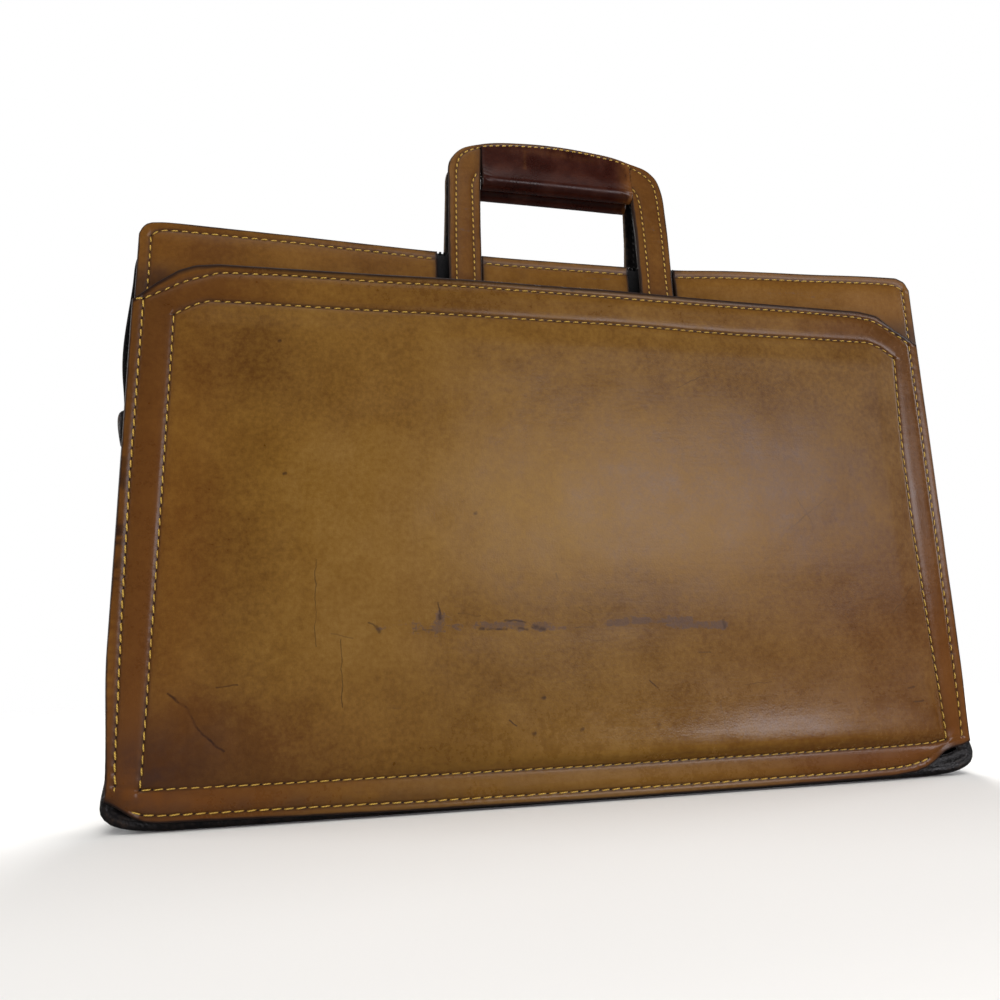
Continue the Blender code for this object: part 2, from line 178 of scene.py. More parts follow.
def clouds(x, z, size, seed, octaves=3):
    total, weight, norm = 0.0, 1.0, 0.0
    for k in range(octaves):
        total = total + weight * noise(x, z, size / 2 ** k, seed + k)
        norm += weight
        weight *= 0.55
    return total / norm


def blob(x, z, cx, cz, rx, rz):
    return np.exp(-((x - cx) / rx) ** 2 - ((z - cz) / rz) ** 2)


def distance_to(line, x, z):
    """Distance from points to an open (x, z) line."""
    x, z = np.asarray(x, float), np.asarray(z, float)
    best = np.full(x.shape, 1e9)
    for (ax, az), (bx, bz) in zip(line, line[1:]):
        dx, dz = bx - ax, bz - az
        t = np.clip(((x - ax) * dx + (z - az) * dz) / (dx * dx + dz * dz + 1e-12), 0, 1)
        best = np.minimum(best, np.hypot(x - ax - t * dx, z - az - t * dz))
    return best


def smooth_line(points, step):
    """Points about one step apart on a smooth curve through the given ones."""
    p = np.array(points, float)
    chord = np.r_[0.0, np.cumsum(np.maximum(np.linalg.norm(np.diff(p[:, :2], axis=0), axis=1), 1e-6) ** 0.5)]
    n = len(p)
    slope = np.zeros_like(p)
    for i in range(n):
        a, b = max(i - 1, 0), min(i + 1, n - 1)
        slope[i] = (p[b] - p[a]) / (chord[b] - chord[a])
    out = []
    for i in range(n - 1):
        h = chord[i + 1] - chord[i]
        count = max(1, int(round(np.linalg.norm(p[i + 1, :2] - p[i, :2]) / step)))
        for s in np.arange(count) / count:
            h00, h01 = (1 + 2 * s) * (1 - s) ** 2, s * s * (3 - 2 * s)
            h10, h11 = s * (1 - s) ** 2, s * s * (s - 1)
            out.append(h00 * p[i] + h10 * h * slope[i] + h01 * p[i + 1] + h11 * h * slope[i + 1])
    out.append(p[-1])
    return np.array(out)


def walk(line, pitch):
    """Points one pitch apart along a dense line, with both ends kept."""
    p = np.array(line, float)
    run = np.r_[0.0, np.cumsum(np.linalg.norm(np.diff(p, axis=0), axis=1))]
    count = max(1, int(round(run[-1] / pitch)))
    t = np.linspace(0.0, run[-1], count + 1)
    return np.stack([np.interp(t, run, p[:, k]) for k in range(p.shape[1])], axis=1)


# ------------------------------------------------------------------ meshes
def add_mesh(name, points, faces, mats, kinds=None, fields=None, smooth=True):
    """Object from points in mm; kinds gives each face's material and fields its vertex values."""
    mesh = bpy.data.meshes.new(name)
    mesh.from_pydata((np.asarray(points, float) * MM).tolist(), [], faces)
    for mat in mats:
        mesh.materials.append(mat)
    if kinds is not None:
        mesh.polygons.foreach_set("material_index", np.asarray(kinds, np.int32))
    for key, values in (fields or {}).items():
        values = np.asarray(values, np.float32)
        flat = values.ndim == 1
        attribute = mesh.attributes.new(key, "FLOAT" if flat else "FLOAT_VECTOR", "POINT")
        attribute.data.foreach_set("value" if flat else "vector", values.ravel())
    mesh.update()
    mesh.validate()
    if smooth:
        mesh.shade_smooth()
    obj = bpy.data.objects.new(name, mesh)
    bpy.context.scene.collection.objects.link(obj)
    return obj


def place(obj, nodes=()):
    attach(obj, "root")
    if nodes:
        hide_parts(*nodes)
    return obj


def spread(width, step, start=(), end=()):
    """Offsets from 0 to just under width: given ones at either end and even ones between."""
    head, tail = [0.0, *start], [width - e for e in reversed(end)]
    a, b = head[-1], (tail[0] if tail else width)
    count = max(1, int(round((b - a) / step)))
    return head + list(np.linspace(a, b, count + 1)[1:-1]) + tail


def axis_shares(spans):
    """Runs of shares between guide lines: (guide index, share) pairs."""
    out = []
    for k, (width, offsets) in enumerate(spans):
        out += [(k, o / width) for o in offsets]
    out.append((len(spans) - 1, 1.0))
    return out


def edge_drop(d, r):
    """How far a rounded edge of radius r falls back at distance d from the rim."""
    s = np.clip(d, 0.0, r)
    return r - np.sqrt(np.maximum(r * r - (r - s) ** 2, 0.0))


def leather_sheet(name, side, X, Z, outer, inner, keep, cu, cv, mats, fields, bulge=0.16):
    """Sheet between an outer and an inner face over a grid. The outer face keeps every grid line,
    the inner one only the lines cu and cv, and a rounded rim joins them."""
    nu, nv = X.shape
    used = np.zeros((nu, nv), bool)
    used[:-1, :-1] |= keep
    used[1:, :-1] |= keep
    used[:-1, 1:] |= keep
    used[1:, 1:] |= keep
    index_out = np.full((nu, nv), -1)
    index_out[used] = np.arange(used.sum())
    where = np.argwhere(used)
    points = [np.stack([X[used], side * outer[used], Z[used]], axis=1)]
    total = len(where)

    faces, kinds = [], []
    ii, jj = np.nonzero(keep)
    quads = np.stack([index_out[ii, jj], index_out[ii + 1, jj], index_out[ii + 1, jj + 1], index_out[ii, jj + 1]], axis=1)
    faces += quads.tolist()
    kinds += [0] * len(quads)

    padded = np.zeros((nu + 1, nv + 1), bool)
    padded[1:nu, 1:nv] = keep
    rim = []
    for i, j in zip(ii.tolist(), jj.tolist()):
        if not padded[i + 1, j]:
            rim.append(((i, j), (i + 1, j)))
        if not padded[i + 2, j + 1]:
            rim.append(((i + 1, j), (i + 1, j + 1)))
        if not padded[i + 1, j + 2]:
            rim.append(((i + 1, j + 1), (i, j + 1)))
        if not padded[i, j + 1]:
            rim.append(((i, j + 1), (i, j)))
    normal = {}
    for a, b in rim:
        dx, dz = X[b] - X[a], Z[b] - Z[a]
        d = math.hypot(dx, dz) + 1e-9
        for p in (a, b):
            n = normal.setdefault(p, [0.0, 0.0])
            n[0] += dz / d
            n[1] -= dx / d
    keys = list(normal)
    order = {p: k for k, p in enumerate(keys)}
    rows = np.array(keys)
    nrm = np.array([normal[p] for p in keys])
    nrm /= np.maximum(np.linalg.norm(nrm, axis=1, keepdims=True), 1e-6)
    rx, rz = X[rows[:, 0], rows[:, 1]], Z[rows[:, 0], rows[:, 1]]
    ro, ri = outer[rows[:, 0], rows[:, 1]], inner[rows[:, 0], rows[:, 1]]
    for share in (0.33, 0.67):
        points.append(np.stack([rx + nrm[:, 0] * bulge, side * (ro * (1 - share) + ri * share), rz + nrm[:, 1] * bulge], axis=1))
    points.append(np.stack([rx, side * ri, rz], axis=1))
    m = len(keys)
    base = [total, total + m, total + 2 * m]
    for a, b in rim:
        ka, kb = order[a], order[b]
        ring = [(index_out[a], index_out[b])] + [(s + ka, s + kb) for s in base]
        for (pa, pb), (qa, qb) in zip(ring, ring[1:]):
            faces.append([int(pb), int(pa), int(qa), int(qb)])
            kinds.append(0)
    index_in = {p: base[2] + k for k, p in enumerate(keys)}
    extra = []

    def inner_vertex(p):
        if p not in index_in:
            index_in[p] = total + 3 * m + len(extra)
            extra.append(p)
        return index_in[p]

    for i0, i1 in zip(cu, cu[1:]):
        for j0, j1 in zip(cv, cv[1:]):
            if not keep[i0:i1, j0:j1].all():
                continue
            ring = [(i, j0) for i in range(i0, i1)] + [(i1, j) for j in range(j0, j1)]
            ring += [(i, j1) for i in range(i1, i0, -1)] + [(i0, j) for j in range(j1, j0, -1)]
            corners = {(i0, j0), (i1, j0), (i1, j1), (i0, j1)}
            ring = [inner_vertex(p) for p in ring if p in corners or p in order]
            faces.append(ring[::-1])
            kinds.append(1)
    ex = np.array(extra)
    points.append(np.stack([X[ex[:, 0], ex[:, 1]], side * inner[ex[:, 0], ex[:, 1]], Z[ex[:, 0], ex[:, 1]]], axis=1))
    points = np.concatenate(points)
    if side > 0:
        faces = [f[::-1] for f in faces]
    values = {}
    for key, grid in fields.items():
        on_rim = grid[rows[:, 0], rows[:, 1]]
        values[key] = np.concatenate([grid[used], on_rim, on_rim, on_rim, grid[ex[:, 0], ex[:, 1]]])
    return add_mesh(name, points, faces, mats, kinds, values)


def loft(name, rings, mats, kinds=None, fields=None, caps=True, closed=False, flip=False):
    """Closed rings of equal size joined into a skin, with flat ends."""
    count, size = len(rings), len(rings[0])
    faces, face_kinds = [], []
    for s in range(count - (0 if closed else 1)):
        a, b = s * size, ((s + 1) % count) * size
        for k in range(size):
            m = (k + 1) % size
            faces.append([a + k, a + m, b + m, b + k])
            face_kinds.append(0 if kinds is None else kinds[k])
    if caps and not closed:
        faces.append(list(range(size))[::-1])
        faces.append([(count - 1) * size + k for k in range(size)])
        face_kinds += [0, 0]
    if flip:
        faces = [f[::-1] for f in faces]
    return add_mesh(name, np.concatenate([np.asarray(r, float) for r in rings]), faces, mats, face_kinds, fields)


# ------------------------------------------------------------------ stitches
def stitch_template():
    sides = 7
    rings = ((-1.0, 0.30), (-0.86, 0.78), (-0.5, 1.0), (0.0, 1.03), (0.5, 1.0), (0.86, 0.78), (1.0, 0.30))
    points, local = [], []
    for s, r in rings:
        for k in range(sides):
            a = 2 * math.pi * k / sides
            points.append((s, r * math.cos(a), r * math.sin(a)))
    faces = []
    for i in range(len(rings) - 1):
        for k in range(sides):
            m = (k + 1) % sides
            faces.append([i * sides + k, (i + 1) * sides + k, (i + 1) * sides + m, i * sides + m])
    faces.append([k for k in range(sides)])
    faces.append([(len(rings) - 1) * sides + k for k in reversed(range(sides))])
    return np.array(points), np.array([len(f) for f in faces]), faces


def hole_template():
    points, faces = [(0.0, 0.0, 1.0)], []
    for row, (r, h) in enumerate(((0.6, 0.75), (1.0, 0.0), (0.7, -0.8))):
        for k in range(8):
            a = 2 * math.pi * k / 8
            points.append((r * math.cos(a), r * math.sin(a), h))
    for k in range(8):
        m = (k + 1) % 8
        faces.append([0, 1 + k, 1 + m])
        for row in range(2):
            a = 1 + row * 8
            faces.append([a + k, a + 8 + k, a + 8 + m, a + m])
    faces.append([17 + k for k in reversed(range(8))])
    return np.array(points), faces


STITCH, _, STITCH_FACES = stitch_template()
HOLE, HOLE_FACES = hole_template()


def stitching(name, side, runs, mats, seed, hole=True):
    """Stitches along runs of (points, height, half_gap, slant, radius): a thread from hole to hole
    and a needle slot at each hole, near-black as painted shade in the hole. Points are (x, z) and height gives |y|
    there."""
    rng = np.random.RandomState(seed)
    points, faces, kinds, local, tint = [], [], [], [], []
    start = 0
    for path, height, gap, slant, radius in runs:
        path = np.asarray(path)
        mids = (path[1:] + path[:-1]) / 2
        for n, (a, b) in enumerate(zip(path, path[1:])):
            d = b - a
            length = np.hypot(*d)
            if length < 1.5:
                continue
            d = d / length
            turn = slant + rng.uniform(-0.035, 0.035)
            c, s = math.cos(turn), math.sin(turn)
            d = np.array([d[0] * c - d[1] * s, d[0] * s + d[1] * c])
            across = np.array([-d[1], d[0]])
            half = length / 2 - gap + rng.uniform(-0.12, 0.12)
            middle = (a + b) / 2 + across * rng.uniform(-0.08, 0.08)
            r = radius * rng.uniform(0.93, 1.06)
            x = middle[0] + STITCH[:, 0] * half * d[0] + STITCH[:, 1] * r * across[0]
            z = middle[1] + STITCH[:, 0] * half * d[1] + STITCH[:, 1] * r * across[1]
            arch = 0.06 - 0.42 * np.abs(STITCH[:, 0]) ** 4
            y = height(x, z) + arch + STITCH[:, 2] * r * 0.78
            points.append(np.stack([x, side * y, z], axis=1))
            faces += [[start + k for k in f] for f in STITCH_FACES]
            kinds += [0] * len(STITCH_FACES)
            local.append(np.stack([STITCH[:, 0] * half, STITCH[:, 1], STITCH[:, 2]], axis=1))
            tint.append(np.full(len(STITCH), rng.uniform(0.0, 1.0)))
            start += len(STITCH)
        if hole:
            for n, p in enumerate(path):
                a, b = path[max(n - 1, 0)], path[min(n + 1, len(path) - 1)]
                d = (b - a) / np.hypot(*(b - a))
                turn = slant * 3.2
                c, s = math.cos(turn), math.sin(turn)
                d = np.array([d[0] * c - d[1] * s, d[0] * s + d[1] * c])
                across = np.array([-d[1], d[0]])
                long, wide = rng.uniform(0.50, 0.70), rng.uniform(0.24, 0.34)
                x = p[0] + HOLE[:, 0] * long * d[0] + HOLE[:, 1] * wide * across[0]
                z = p[1] + HOLE[:, 0] * long * d[1] + HOLE[:, 1] * wide * across[1]
                y = height(np.full(1, p[0]), np.full(1, p[1]))[0] - 0.36 + HOLE[:, 2] * 0.16
                points.append(np.stack([x, side * y, z], axis=1))
                faces += [[start + k for k in f] for f in HOLE_FACES]
                kinds += [1] * len(HOLE_FACES)
                local.append(np.zeros((len(HOLE), 3)))
                tint.append(np.zeros(len(HOLE)))
                start += len(HOLE)
    if side < 0:
        faces = [f[::-1] for f in faces]
    return add_mesh(name, np.concatenate(points), faces, mats, kinds,
                    {"local": np.concatenate(local), "tint": np.concatenate(tint)})


# ------------------------------------------------------------------ shader helpers
class Graph:
    """Short calls for building one material's nodes."""

    def __init__(self, name):
        self.mat = bpy.data.materials.new(name)
        self.mat.use_nodes = True
        self.nodes, self.links = self.mat.node_tree.nodes, self.mat.node_tree.links
        self.shader = self.nodes["Principled BSDF"]

    def new(self, kind, **values):
        node = self.nodes.new(kind)
        for key, value in values.items():
            setattr(node, key, value)
        return node

    def put(self, socket, value):
        if isinstance(value, bpy.types.NodeSocket):
            self.links.new(value, socket)
        elif isinstance(value, (tuple, list)):
            socket.default_value = (*value, 1.0) if len(value) == 3 and len(socket.default_value) == 4 else value
        else:
            socket.default_value = value

    def math(self, op, a, b=None, c=None, clamp=False):
        node = self.new("ShaderNodeMath", operation=op, use_clamp=clamp)
        for k, value in enumerate((a, b, c)):
            if value is not None:
                self.put(node.inputs[k], value)
        return node.outputs[0]

    def vec(self, op, a, b=None, scale=None):
        node = self.new("ShaderNodeVectorMath", operation=op)
        self.put(node.inputs[0], a)
        if b is not None:
            self.put(node.inputs[1], b)
        if scale is not None:
            self.put(node.inputs["Scale"], scale)
        return node.outputs["Value" if op in ("DOT_PRODUCT", "DISTANCE", "LENGTH") else "Vector"]

    def where(self):
        if not hasattr(self, "_where"):
            self._where = self.new("ShaderNodeTexCoord").outputs["Object"]
        return self._where

    def field(self, name, vector=False):
        node = self.new("ShaderNodeAttribute", attribute_name=name)
        return node.outputs["Vector" if vector else "Fac"]

    def noise(self, scale, detail=3.0, rough=0.55, at=None, distortion=0.0):
        node = self.new("ShaderNodeTexNoise")
        self.put(node.inputs["Vector"], at or self.where())
        self.put(node.inputs["Scale"], scale)
        self.put(node.inputs["Detail"], detail)
        self.put(node.inputs["Roughness"], rough)
        self.put(node.inputs["Distortion"], distortion)
        return node.outputs["Fac"]

    def cells(self, scale, at=None, feature="F1", randomness=1.0):
        node = self.new("ShaderNodeTexVoronoi", feature=feature)
        self.put(node.inputs["Vector"], at or self.where())
        self.put(node.inputs["Scale"], scale)
        self.put(node.inputs["Randomness"], randomness)
        return node.outputs["Distance"]

    def stretch(self, scale, turn=(0.0, 0.0, 0.0), at=None):
        node = self.new("ShaderNodeMapping")
        self.put(node.inputs["Vector"], at or self.where())
        node.inputs["Scale"].default_value = scale
        node.inputs["Rotation"].default_value = turn
        return node.outputs["Vector"]

    def span(self, value, low, high, to_low=0.0, to_high=1.0, smooth=True):
        node = self.new("ShaderNodeMapRange", interpolation_type="SMOOTHSTEP" if smooth else "LINEAR")
        for key, v in (("Value", value), ("From Min", low), ("From Max", high), ("To Min", to_low), ("To Max", to_high)):
            self.put(node.inputs[key], v)
        return node.outputs["Result"]

    def mix(self, share, a, b, blend="MIX"):
        node = self.new("ShaderNodeMix", data_type="RGBA", blend_type=blend, clamp_factor=True)
        self.put(node.inputs["Factor"], share)
        self.put(node.inputs[6], a)
        self.put(node.inputs[7], b)
        return node.outputs[2]

    def ramp(self, value, *stops):
        node = self.new("ShaderNodeValToRGB")
        self.put(node.inputs["Fac"], value)
        elements = node.color_ramp.elements
        while len(elements) < len(stops):
            elements.new(0.5)
        for element, (at, color) in zip(elements, stops):
            element.position = at
            element.color = (*color, 1.0)
        return node.outputs["Color"]

    def bump(self, height, strength, distance, below=None):
        node = self.new("ShaderNodeBump")
        self.put(node.inputs["Height"], height)
        node.inputs["Strength"].default_value = strength
        node.inputs["Distance"].default_value = distance
        if below is not None:
            self.links.new(below, node.inputs["Normal"])
        return node.outputs["Normal"]

    def scratch(self, a, b, width, at):
        """1 on a straight scratch from a to b (x, z in mm), 0 away from it."""
        ax, az = a[0] * MM, a[1] * MM
        dx, dz = (b[0] - a[0]) * MM, (b[1] - a[1]) * MM
        square = dx * dx + dz * dz
        rel = self.vec("SUBTRACT", at, (ax, 0.0, az))
        t = self.vec("DOT_PRODUCT", rel, (dx / square, 0.0, dz / square))
        t = self.math("MAXIMUM", self.math("MINIMUM", t, 1.0), 0.0)
        near = self.new("ShaderNodeVectorMath", operation="SCALE")
        near.inputs[0].default_value = (dx, 0.0, dz)
        self.links.new(t, near.inputs["Scale"])
        d = self.vec("DISTANCE", rel, near.outputs["Vector"])
        return self.span(d, width * MM * 1.35, width * MM * 0.2)

    def end(self, color, rough, normal=None, **constants):
        self.put(self.shader.inputs["Base Color"], color)
        self.put(self.shader.inputs["Roughness"], rough)
        if normal is not None:
            self.links.new(normal, self.shader.inputs["Normal"])
        for key, value in constants.items():
            self.shader.inputs[key.replace("_", " ")].default_value = value
        return self.mat


# ------------------------------------------------------------------ materials
def leather(name, seed, stops, scratches=(), rough=(0.29, 0.40), cloud=0.34, pores=0.14):
    """Worn vegetable-tanned hide. Vertex values: edge and seam are distances in mm; the tone value shifts the
    colour ramp, for the hide's uneven colour and as painted shade; warm, stain, scuff and shade masks run from 0 to 1,
    where the stain mask holds real stains and painted shade and the shade mask painted shade only."""
    g = Graph(name)
    at = g.vec("ADD", g.where(), (0.37 * seed, 0.11 * seed, 0.23 * seed))
    bend = g.new("ShaderNodeTexNoise")
    g.put(bend.inputs["Vector"], at)
    g.put(bend.inputs["Scale"], 150.0)
    warped = g.vec("ADD", g.where(), g.vec("SCALE", g.vec("SUBTRACT", bend.outputs["Color"], (0.5, 0.5, 0.5)), scale=0.0028))
    flat = g.vec("MULTIPLY", warped, (1.0, 0.0, 1.0))
    edge, seam = g.field("edge"), g.field("seam")
    tone_and_shade, warm, stain_and_shade, scuff, painted_shade = (g.field(k) for k in ("tone_and_shade", "warm", "stain_and_shade", "scuff", "painted_shade"))
    big = g.noise(13.0, 4.0, 0.55, at)
    mid = g.noise(62.0, 4.0, 0.58, at)
    fine = g.noise(400.0, 4.0, 0.62, at)
    hair = g.noise(1.0, 5.0, 0.6, g.stretch((60.0, 60.0, 900.0), (0.0, 0.5, 0.0), at))
    streak = g.noise(1.0, 4.0, 0.55, g.stretch((40.0, 40.0, 420.0), (0.0, 0.04, 0.0), at))

    shade = g.math("ADD", tone_and_shade, g.math("MULTIPLY", g.math("SUBTRACT", big, 0.5), cloud))
    shade = g.math("ADD", shade, g.math("MULTIPLY", g.math("SUBTRACT", mid, 0.5), 0.21))
    shade = g.math("ADD", shade, g.math("MULTIPLY", g.math("SUBTRACT", fine, 0.5), 0.36))
    color = g.ramp(shade, *stops)
    color = g.mix(g.math("MULTIPLY", warm, 0.85), color, g.mix(mid, (0.13, 0.040, 0.008), (0.21, 0.078, 0.012)))
    # dark blotches from the stain mask, which holds real stains and painted shade
    blotch = g.math("MULTIPLY", stain_and_shade, g.span(mid, 0.30, 0.62))
    color = g.mix(g.math("MULTIPLY", blotch, 0.9), color, (0.040, 0.018, 0.014))
    # dark specks and small hide marks
    specks = g.span(g.cells(260.0, at), 0.10, 0.03)
    specks = g.math("MULTIPLY", specks, g.span(g.noise(38.0, 2.0, 0.5, at), 0.56, 0.68))
    color = g.mix(g.math("MULTIPLY", specks, 0.32), color, (0.05, 0.022, 0.010))
    lines = g.math("MULTIPLY", g.span(hair, 0.655, 0.70), g.span(g.noise(21.0, 2.0, 0.5, at), 0.55, 0.66))
    color = g.mix(g.math("MULTIPLY", lines, 0.30), color, (0.07, 0.03, 0.012))
    # rubbed grey-purple scuffs broken up along the rub
    torn = g.math("SUBTRACT", g.math("ADD", g.math("MULTIPLY", streak, 0.45), g.math("MULTIPLY", fine, 0.55)), 0.5)
    rub = g.span(g.math("ADD", scuff, g.math("MULTIPLY", torn, 3.4)), 0.30, 0.68)
    rub = g.math("MULTIPLY", g.math("MULTIPLY", rub, g.span(scuff, 0.02, 0.25)), g.span(g.math("ADD", g.math("MULTIPLY", mid, 0.4), g.math("MULTIPLY", fine, 0.6)), 0.38, 0.56, 0.40, 1.0))
    color = g.mix(g.math("MULTIPLY", rub, 0.74), color, g.mix(mid, (0.050, 0.028, 0.024), (0.120, 0.074, 0.060)))
    # dirt in and beside the seams, painted shade from the shade mask, and dark burnished raw edges
    dirt = g.math("MULTIPLY", g.span(seam, 1.6, 0.3), g.span(mid, 0.25, 0.7, 0.35, 0.85))
    color = g.mix(dirt, color, (0.050, 0.020, 0.007))
    halo = g.math("MULTIPLY", g.span(seam, 4.5, 0.8), 0.22)
    color = g.mix(halo, color, (0.085, 0.032, 0.008))
    color = g.mix(g.math("MULTIPLY", painted_shade, g.span(mid, 0.2, 0.6, 0.6, 1.0)), color, (0.017, 0.007, 0.004))
    ragged = g.math("ADD", edge, g.math("MULTIPLY", g.math("SUBTRACT", mid, 0.5), 1.4))
    burnt = g.span(ragged, 1.35, 0.35)
    color = g.mix(g.math("MULTIPLY", burnt, 0.93), color, (0.016, 0.008, 0.006))
    cut = None
    for a, b, width, depth in scratches:
        one = g.math("MULTIPLY", g.scratch(a, b, width, flat), depth)
        cut = one if cut is None else g.math("MAXIMUM", cut, one)
    if cut is not None:
        broken = g.span(g.math("ADD", g.math("MULTIPLY", fine, 0.5), g.math("MULTIPLY", mid, 0.5)), 0.38, 0.56, 0.25, 1.0)
        color = g.mix(g.math("MULTIPLY", cut, broken), color, (0.024, 0.009, 0.005))

    gloss = g.span(g.math("ADD", g.math("MULTIPLY", big, 0.5), g.math("MULTIPLY", mid, 0.5)), 0.3, 0.7, rough[0], rough[1])
    gloss = g.math("ADD", gloss, g.math("MULTIPLY", rub, 0.16))
    gloss = g.math("SUBTRACT", gloss, g.math("MULTIPLY", g.field("polish"), 0.135))
    gloss = g.math("ADD", gloss, g.math("MULTIPLY", burnt, 0.12))
    gloss = g.math("ADD", gloss, g.math("MULTIPLY", g.math("SUBTRACT", fine, 0.5), 0.16), clamp=True)

    grain = g.cells(1150.0, at)
    height = g.math("ADD", g.math("MULTIPLY", grain, 0.4), g.math("MULTIPLY", g.noise(900.0, 3.0, 0.6, at), 0.5))
    normal = g.bump(height, pores, 0.00035)
    height = g.math("ADD", g.noise(62.0, 2.0, 0.45, at), g.math("MULTIPLY", streak, 0.25))
    normal = g.bump(height, 0.10, 0.0016, normal)
    return g.end(color, gloss, normal, IOR=1.34)


TAN_STOPS = ((0.0, (0.022, 0.008, 0.003)), (0.28, (0.094, 0.038, 0.0060)), (0.50, (0.178, 0.086, 0.0120)),
             (0.72, (0.245, 0.132, 0.026)), (1.0, (0.35, 0.22, 0.07)))
PANEL_STOPS = ((0.0, (0.024, 0.009, 0.003)), (0.28, (0.092, 0.037, 0.0055)), (0.50, (0.172, 0.079, 0.0105)),
               (0.72, (0.240, 0.122, 0.025)), (1.0, (0.34, 0.20, 0.07)))


def black_hide(name, seed, pores=0.35, brown=0.35):
    g = Graph(name)
    at = g.vec("ADD", g.where(), (0.31 * seed, 0.17 * seed, 0.29 * seed))
    mid, fine = g.noise(70.0, 5.0, 0.6, at), g.noise(420.0, 4.0, 0.6, at)
    color = g.mix(g.span(mid, 0.35, 0.72), (0.0028, 0.0023, 0.0028), (0.0080, 0.0066, 0.0070))
    worn = g.math("MULTIPLY", g.field("worn"), g.span(fine, 0.42, 0.62))
    color = g.mix(g.math("MULTIPLY", worn, brown), color, (0.10, 0.055, 0.03))
    gloss = g.span(fine, 0.3, 0.7, 0.30, 0.50)
    wrinkle = g.noise(1.0, 5.0, 0.62, g.stretch((240.0, 620.0, 240.0), (0.0, 0.0, 0.0), at))
    normal = g.bump(g.cells(760.0, at), pores * 0.8, 0.0005)
    normal = g.bump(wrinkle, 0.32, 0.0012, normal)
    return g.end(color, gloss, normal, IOR=1.36)


def grip_hide(name, seed):
    """Dark red-brown hide polished by the hand, rubbed to tan where the field worn says."""
    g = Graph(name)
    at = g.vec("ADD", g.where(), (0.31 * seed, 0.17 * seed, 0.29 * seed))
    mid, fine = g.noise(85.0, 2.0, 0.5, at), g.noise(520.0, 4.0, 0.62, at)
    color = g.ramp(g.math("ADD", g.math("MULTIPLY", mid, 0.7), g.math("MULTIPLY", fine, 0.3)),
                   (0.25, (0.016, 0.0023, 0.0010)), (0.5, (0.029, 0.0045, 0.0016)), (0.75, (0.052, 0.0105, 0.0032)))
    across = g.noise(1.0, 4.0, 0.6, g.stretch((420.0, 60.0, 90.0), (0.0, 0.0, 0.0), at))
    rubbed = g.math("MULTIPLY", g.field("worn"), g.span(g.math("ADD", g.math("MULTIPLY", across, 0.5), g.math("MULTIPLY", mid, 0.5)), 0.36, 0.60))
    color = g.mix(rubbed, color, (0.15, 0.055, 0.012))
    color = g.mix(g.span(g.math("ADD", g.field("edge"), g.math("MULTIPLY", g.math("SUBTRACT", mid, 0.5), 1.2)), 1.3, 0.2), color, (0.012, 0.006, 0.005))
    gloss = g.span(mid, 0.3, 0.7, 0.26, 0.38)
    height = g.math("ADD", g.math("MULTIPLY", g.cells(900.0, at), 0.4), g.math("MULTIPLY", across, 0.6))
    normal = g.bump(height, 0.16, 0.0005)
    return g.end(color, gloss, normal, IOR=1.34)


def suede(name, color_a, color_b):
    g = Graph(name)
    at = g.where()
    nap = g.noise(1.0, 5.0, 0.7, g.stretch((900.0, 900.0, 340.0), (0.0, 0.3, 0.0), at))
    mid = g.noise(55.0, 4.0, 0.6, at)
    color = g.mix(g.math("ADD", g.math("MULTIPLY", nap, 0.6), g.math("MULTIPLY", mid, 0.5)), color_a, color_b)
    normal = g.bump(nap, 0.5, 0.0006)
    return g.end(color, g.span(mid, 0.2, 0.8, 0.82, 0.95), normal, Sheen_Weight=0.25, Sheen_Roughness=0.5)


def thread(name, dark, light, warmth=0.35):
    """Waxed two-ply thread: strands wind round it with painted shade in the grooves between them, and painted shade
    darkens it where it dives into its hole.
    """
    g = Graph(name)
    split = g.new("ShaderNodeSeparateXYZ")
    g.links.new(g.field("local", vector=True), split.inputs[0])
    s, a, h = split.outputs
    angle = g.math("ARCTAN2", h, a)
    wave = g.math("SINE", g.math("ADD", g.math("MULTIPLY", angle, 2.0), g.math("MULTIPLY", s, 5.2)))
    strand = g.math("ADD", g.math("MULTIPLY", wave, 0.5), 0.5)
    mid = g.noise(160.0, 3.0, 0.6)
    color = g.mix(g.math("MULTIPLY", g.math("POWER", strand, 0.6), g.span(mid, 0.2, 0.8, 0.75, 1.0)), dark, light)
    color = g.mix(g.math("MULTIPLY", g.field("tint"), warmth), color, (0.40, 0.20, 0.04))
    # painted shade where the thread dives into its hole
    ends = g.span(g.math("ABSOLUTE", s), 1.35, 2.0)
    color = g.mix(g.math("MULTIPLY", ends, warmth), color, (0.10, 0.045, 0.008))
    normal = g.bump(strand, 0.55, 0.00018)
    return g.end(color, g.span(mid, 0.3, 0.7, 0.42, 0.60), normal, IOR=1.45)


# needle slots: their near-black colour is painted shade inside the holes
def needle_slot(name):
    g = Graph(name)
    n = g.noise(900.0)
    return g.end(g.mix(n, (0.006, 0.003, 0.002), (0.018, 0.009, 0.005)), g.span(n, 0.0, 1.0, 0.8, 1.0),
                 g.bump(n, 0.3, 0.0002))


